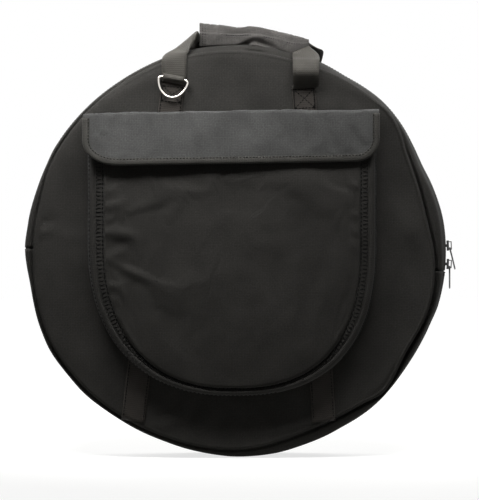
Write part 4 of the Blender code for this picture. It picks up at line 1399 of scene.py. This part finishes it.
# Handle straps, from the left root over the grip to the right root: the outer and the inner edge at each
# place, in millimetres. The front strap folds over on its left and turns its dark back before it goes into
# the grip.
strapEdges = {
    "frontLeft": (
        ((-100.8, -48, 538), (-67.8, -47, 541)), ((-83, -20, 553.5), (-66, -45, 546)),
        ((-70, -19, 564), (-65, -44, 549)), ((-57.4, -26, 574), (-64, -41, 551)),
        ((-53, -42, 574), (-59.5, -15, 550.5)), ((-50.5, -27, 571), (-52, -8, 552)),
    ),
    "frontRight": (
        ((92, -20, 562), (75, -20, 547)), ((99, -31, 553), (74.5, -31, 546)),
        ((107.5, -41, 544.5), (74, -41, 544)), ((110, -50, 538), (74, -50, 538)),
        ((109.8, -57, 534), (74, -57, 534)), ((109.4, -62, 528), (74, -62, 528)),
        ((109, -65.5, 520.5), (74, -65.5, 520.5)), ((108.8, -64.5, 514.5), (74.2, -64.5, 514.5)),
        ((108.6, -59, 507.5), (74.4, -59, 507.5)), ((108.4, -53, 501.5), (74.6, -53, 501.5)),
    ),
    "rearLeft": (
        ((-104, 51, 526), (-71, 51, 526)), ((-101, 50, 540), (-69, 50, 544)), ((-93, 30, 547), (-62, 30, 557)),
        ((-83, 8, 552.5), (-52, 6, 562)), ((-62, -6, 561), (-46, -10, 556)),
    ),
    "rearRight": (
        ((98, -6, 562), (80, -12, 552)), ((108, 2, 556), (80, 0, 556)), ((117, 14, 553), (84, 14, 560)),
        ((118, 32, 548), (84, 32, 556)), ((116, 50, 540), (83, 50, 543)), ((113, 52, 526), (80, 52, 527)),
    ),
}


def edgeStations(name):
    made = []
    for outer, inner in strapEdges[name]:
        outer, inner = Vector(outer) * mm, Vector(inner) * mm
        made.append(((outer + inner) / 2, (inner - outer) / 2))
    return made


def rootStation(run, direction, drop=1 * mm):
    # The strap's sewn end, over the top end of a run of webbing
    z = run[2] - drop
    lean = runLean(run)
    x = runX(run, z)
    above = 0.5 if drop < 2 * mm else 1.6
    y = run[3] * (panelDepth(x, z, run[3]) + bag["gap"] + webbing["thickness"] * above)
    return Vector((x, y, z)), Vector((math.cos(lean), 0, -math.sin(lean))) * direction * webbing["width"] / 2


def gripStations(depth, first, last):
    made = []
    for i in range(7):
        angle = first + (last - first) * i / 6
        down = -(polar(angle, 1, 0) - Vector((0, 0, bag["centreHeight"])))
        x = grip["strapRadius"] * math.cos(math.radians(angle))
        middle = (gripTop(x) + roundHeight(x, grip["archRadius"])) / 2 - 0.5 * mm
        made.append((Vector((x, -depth, middle)), down * webbing["width"] / 2 * 0.5))
    return made


def strapMesh(stations, steps=7):
    # A strip of webbing on a smooth line through its stations
    rail = []
    last = len(stations) - 1
    for i in range(last):
        for k in range(steps + (i == last - 1)):
            t = k / steps
            mixed = []
            for part in (0, 1):
                a, b, c, d = (stations[min(max(i + j, 0), last)][part] for j in (-1, 0, 1, 2))
                mixed.append(b + (c - a) * (t - 2 * t * t + t**3) / 2 + (c - b) * (3 * t * t - 2 * t**3)
                             + (d - b) * (t**3 - t * t) / 2)
            rail.append(mixed)
    lengths = [0.0]
    for (a, _), (b, _) in zip(rail, rail[1:]):
        lengths.append(lengths[-1] + (b - a).length)

    def place(u, v):
        k = round(v * (len(rail) - 1))
        centre, half = rail[k]
        half = half.normalized() * max(half.length, webbing["width"] / 2 * 0.5)
        return centre + half * (2 * u - 1), (u * webbing["width"], lengths[k])
    return gridMesh(6, len(rail) - 1, place)


def makeStraps():
    front = ([rootStation(runs["frontLeft"], 1)] + edgeStations("frontLeft") + gripStations(0.0159, 97.5, 72.5)
             + edgeStations("frontRight") + [rootStation(runs["frontRight"], -1, 5 * mm)])
    rear = ([rootStation(runs["rearLeft"], 1)] + edgeStations("rearLeft") + gripStations(0.0141, 98, 72)
            + edgeStations("rearRight") + [rootStation(runs["rearRight"], -1)])
    for name, stations, node, low, high in (
        ("frontHandleStrap", front, "front_handle_strap", "front_cover", "front_handle"),
        ("rearHandleStrap", rear, "rear_handle_strap", "bag", "rear_handle"),
    ):
        bend = (low, high, Vector((0, 0, 0.515)), Vector((0, 0, 0.562)))
        makePiece(name, strapMesh(stations), "handle", "webbing", bend, (node,), wall=webbing["thickness"],
                  offset=0)


makeStraps()
print("handles made")


# D-rings and the folds of webbing that hold them

ring = {
    "wire": 0.0030,
    "width": 0.0398,
    "drop": 0.0262,
    "corner": 4.8 * mm,
    "lean": 5.0,
    "tilt": 3.0,                 # degrees that the bar hangs askew
    "slack": 1.0 * mm,
    "loopWidth": 0.029,
    "loopThickness": 0.0013,
    "tail": 1.9,                 # how far the loop reaches below the bar, in its own radii
    "sides": 14,
}


def tubeMesh(points, radius, sides):
    # A round wire along a closed line, from Blender's own curve
    curve = bpy.data.curves.new("wire", "CURVE")
    curve.dimensions = "3D"
    curve.bevel_depth = radius
    curve.bevel_resolution = sides // 2 - 2
    spline = curve.splines.new("POLY")
    spline.points.add(len(points) - 1)
    for knot, point in zip(spline.points, points):
        knot.co = (*point, 1)
    spline.use_cyclic_u = True
    helper = bpy.data.objects.new("wire", curve)
    bpy.context.scene.collection.objects.link(helper)
    bpy.context.view_layer.update()
    mesh = bpy.data.meshes.new_from_object(helper.evaluated_get(bpy.context.evaluated_depsgraph_get()))
    bm = bmesh.new()
    bm.from_mesh(mesh)
    bpy.data.objects.remove(helper)
    bpy.data.meshes.remove(mesh)
    bmesh.ops.remove_doubles(bm, verts=bm.verts, dist=1e-6)
    bmesh.ops.recalc_face_normals(bm, faces=bm.faces)
    return bm


def ringLine():
    # The D's centre line: a straight bar, tight corners and a round bow
    half, drop, corner = ring["width"] / 2, ring["drop"], ring["corner"]
    points = [Vector((-half + corner + (2 * half - 2 * corner) * i / 8, 0, 0)) for i in range(9)]
    for i in range(1, 6):
        turn = math.radians(90 - 75 * i / 5)
        points.append(Vector((half - corner + corner * math.cos(turn), 0, corner * math.sin(turn) - corner)))
    first = math.asin((corner - 1.5 * mm) / drop)
    for i in range(1, 44):
        turn = first + (math.pi - 2 * first) * i / 44
        points.append(Vector((half * math.cos(turn), 0, -drop * math.sin(turn))))
    for i in range(5):
        turn = math.radians(165 - 75 * i / 5)
        points.append(Vector((-half + corner + corner * math.cos(turn), 0, corner * math.sin(turn) - corner)))
    return points


def makeRing(name, run, node, loopNode, ringBody, loopBody, rear):
    joint = jointOf("child", ringBody)
    bar = Vector(joint["pos_m"])
    lean = math.degrees(runLean(run))
    loopRadius = ring["wire"] / 2 + bag["gap"] + ring["slack"] + ring["loopThickness"] / 2
    rotation = Matrix.Rotation(math.radians(lean + (0 if rear else ring["tilt"])), 3, "Y")
    around = Matrix.Rotation(math.pi if rear else 0, 3, "Z")

    wire = tubeMesh(ringLine(), ring["wire"] / 2, ring["sides"])
    tilt = rotation @ Matrix.Rotation(math.radians(-ring["lean"]), 3, "X")
    bmesh.ops.rotate(wire, verts=wire.verts, cent=(0, 0, 0), matrix=around @ tilt)
    bmesh.ops.translate(wire, verts=wire.verts, vec=bar)
    makePiece(name + "DRing", wire, "nickel plated steel", "ring_metal", ringBody, (node,))

    drop = -loopRadius * ring["tail"]
    path = [Vector((0, loopRadius - ring["loopThickness"] - bag["gap"], drop)),
            Vector((0, loopRadius * 0.1, drop * 0.66))]
    for i in range(15):
        angle = math.radians(-50 + 230 * i / 14)
        path.append(Vector((0, -loopRadius * math.cos(angle), loopRadius * math.sin(angle))))
    path += [Vector((0, loopRadius, drop / 2)), Vector((0, loopRadius, drop))]

    def place(u, v):
        point = path[round(v * (len(path) - 1))] + Vector(((u - 0.5) * ring["loopWidth"], 0, 0))
        return around @ rotation @ point + bar, (u * ring["loopWidth"], v * 0.03)
    loop = turnOutwards(gridMesh(6, len(path) - 1, place), bar)
    # The loop takes the lighter handle colour: painted light on its roll
    makePiece(name + "RingLoop", loop, "handle", "webbing", loopBody, (loopNode,), wall=ring["loopThickness"],
              offset=0)


makeRing("front", runs["frontLeft"], "front_d_ring", "front_ring_loop", "front_ring", "front_cover", False)
makeRing("rear", runs["rearLeft"], "rear_d_ring", "rear_ring_loop", "rear_ring", "bag", True)
print("rings made")


# Zip

zipFacts = {
    "tapeInset": 1.15 * mm,
    "tapeWall": 0.6 * mm,
    "pitch": 2.0 * mm,
    "toothWidth": 1.0 * mm,
    "toothHeight": 2.3 * mm,
    "toothReach": 3.5 * mm,
    "toothSink": 0.3 * mm,
    "tapeEdge": 3.7 * mm,        # from the bag's middle to the tape's free edge
    "tapeWidth": 13.3 * mm,
    "stitchLine": 9.5 * mm,      # from the bag's middle to the row beside the zip
}


def teethMesh(side):
    # One bent coil of the zip as a bar with rounded ends, repeated round the rim
    first, last = bag["zipRight"] + 0.3, bag["zipLeft"] - 0.3
    steps = int(math.radians(last - first) * bag["rimRadius"] / zipFacts["pitch"])
    bm = bmesh.new()
    turn = Matrix.Rotation(math.pi / 2, 4, "X")
    bmesh.ops.create_cone(bm, segments=8, radius1=0.5, radius2=0.5, depth=1, cap_ends=True, matrix=turn)
    size = (zipFacts["toothHeight"], zipFacts["toothReach"] + 0.7 * mm, zipFacts["toothWidth"])
    bmesh.ops.scale(bm, verts=bm.verts, vec=size)
    middle = side * (zipFacts["toothReach"] - 0.7 * mm) / 2
    rim = bag["rimRadius"]
    start = first + (0 if side < 0 else math.degrees(zipFacts["pitch"] / 2 / rim))
    outside = rim - zipFacts["toothHeight"] / 2 - zipFacts["toothSink"]
    bmesh.ops.translate(bm, verts=bm.verts, vec=(outside, middle, bag["centreHeight"]))
    axis = (0, 0, bag["centreHeight"])
    bmesh.ops.rotate(bm, verts=bm.verts, cent=axis, matrix=Matrix.Rotation(-math.radians(start), 3, "Y"))
    bmesh.ops.spin(bm, geom=bm.verts[:] + bm.edges[:] + bm.faces[:], cent=axis, axis=(0, -1, 0),
                   angle=math.radians(last - first), steps=steps, use_duplicate=True)
    for vert in bm.verts:
        angle, radius = polarOf(vert.co.x, vert.co.z)
        vert.co = polar(angle, radius - rim + min(rim, crestRadius(angle)), vert.co.y)
    return bm


def makeZip():
    gap = band["seamGap"]
    first, last = bag["zipRight"] + gap, bag["zipLeft"] - gap
    for name, side, body in (("front", -1, "cover"), ("rear", 1, "bag")):
        def place(u, v, side=side):
            angle = first + (last - first) * u
            y = side * (zipFacts["tapeEdge"] + zipFacts["tapeWidth"] * v)
            inset = zipFacts["tapeInset"] + max(0, crestRadius(angle) - bag["rimRadius"])
            return depthPoint(angle, y, inset), (math.radians(angle) * bag["rimRadius"], y)
        tape = turnOutwards(gridMesh(200, 6, place), Vector((0, 0, bag["centreHeight"])))
        makePiece(name + "ZipTape", tape, "nylon zip tape", "zip_tape", body, (name + "_zip_tape",),
                  wall=zipFacts["tapeWall"])
        makePiece(name + "ZipCoil", teethMesh(side), "nylon zip coil", "zip_coil", body, (name + "_zip_coil",))


def dressMetal():
    # The sliders and pullers keep their CAD shape, with softened edges and a plated finish
    for node in ("zip_slider_upper", "zip_slider_lower", "zip_puller_upper", "zip_puller_lower"):
        piece = frame["nodes"][node]
        weld = piece.modifiers.new("weld", "WELD")
        weld.merge_threshold = 1e-5
        edges = piece.modifiers.new("edges", "BEVEL")
        edges.width = 0.25 * mm
        edges.segments = 2
        edges.limit_method = "ANGLE"
        edges.angle_limit = math.radians(35)
        piece.data.materials.clear()
        piece.data.materials.append(materials["black oxide zinc"])


makeZip()
dressMetal()
print("zip made")


# Stitching on the webbing, the strips and the zip's ends

def boxRows(run, low, high):
    # A sewn box with its diagonals, on a run of webbing
    half = webbing["width"] / 2 - webbing["sewnInset"]
    places = ((-half, low), (half, low), (half, high), (-half, high))
    a, b, c, d = (runPoint(run, z, across, 0.1 * mm) for across, z in places)
    return [(line, (0, run[3], 0), 0) for line in ([a, b], [b, c], [c, d], [d, a], [a, c], [b, d])]


def edgeRows(run):
    # Two rows of stitches near the edges of a run of webbing
    low = seamHeight(run) + 6 * mm
    rows = []
    for side in (-1, 1):
        off = side * (webbing["width"] / 2 - webbing["sewnInset"])
        row = [runPoint(run, low + (run[2] - 4 * mm - low) * i / 79, off, 0.1 * mm) for i in range(80)]
        rows.append((row, (0, run[3], 0), 0))
    return rows


def fromAxis(spot):
    # Straight out from the bag's axis
    return Vector((spot.x, 0, spot.z)) - Vector((0, 0, bag["centreHeight"]))


def makeSewing():
    makeStitches("frontWebbingStitches", edgeRows(runs["frontLeft"]) + edgeRows(runs["frontRight"])
                 + boxRows(runs["frontRight"], 0.4705, 0.4960) + boxRows(runs["frontLeft"], 0.4790, 0.4990),
                 "cover", slot="webbing", scale=1.25)
    makeStitches("rearWebbingStitches", edgeRows(runs["rearLeft"]) + edgeRows(runs["rearRight"])
                 + boxRows(runs["rearLeft"], 0.470, 0.505) + boxRows(runs["rearRight"], 0.470, 0.505), "bag",
                 slot="webbing")
    steps = 300
    for name, side, body in (("front", -1, "cover"), ("rear", 1, "bag")):
        row = []
        for i in range(steps + 1):
            angle = bag["zipRight"] + 0.4 + (bag["zipLeft"] - bag["zipRight"] - 0.8) * i / steps
            row.append(depthPoint(angle, side * zipFacts["stitchLine"], -0.1 * mm))
        makeStitches(name + "ZipStitches", [(row, fromAxis, 0)], body, scale=0.8)
    bars = []
    for angle in (bag["zipLeft"] + 0.45, bag["zipLeft"] + 1.1, bag["zipRight"] - 0.45, bag["zipRight"] - 1.1):
        bar = [depthPoint(angle, (i - 6) / 6 * 17 * mm, -0.1 * mm) for i in range(13)]
        bars.append((bar, fromAxis, 0))
    makeStitches("zipEndStitches", bars, "bag", scale=0.9, pitch=3.4 * mm)


makeSewing()
print("sewing made")
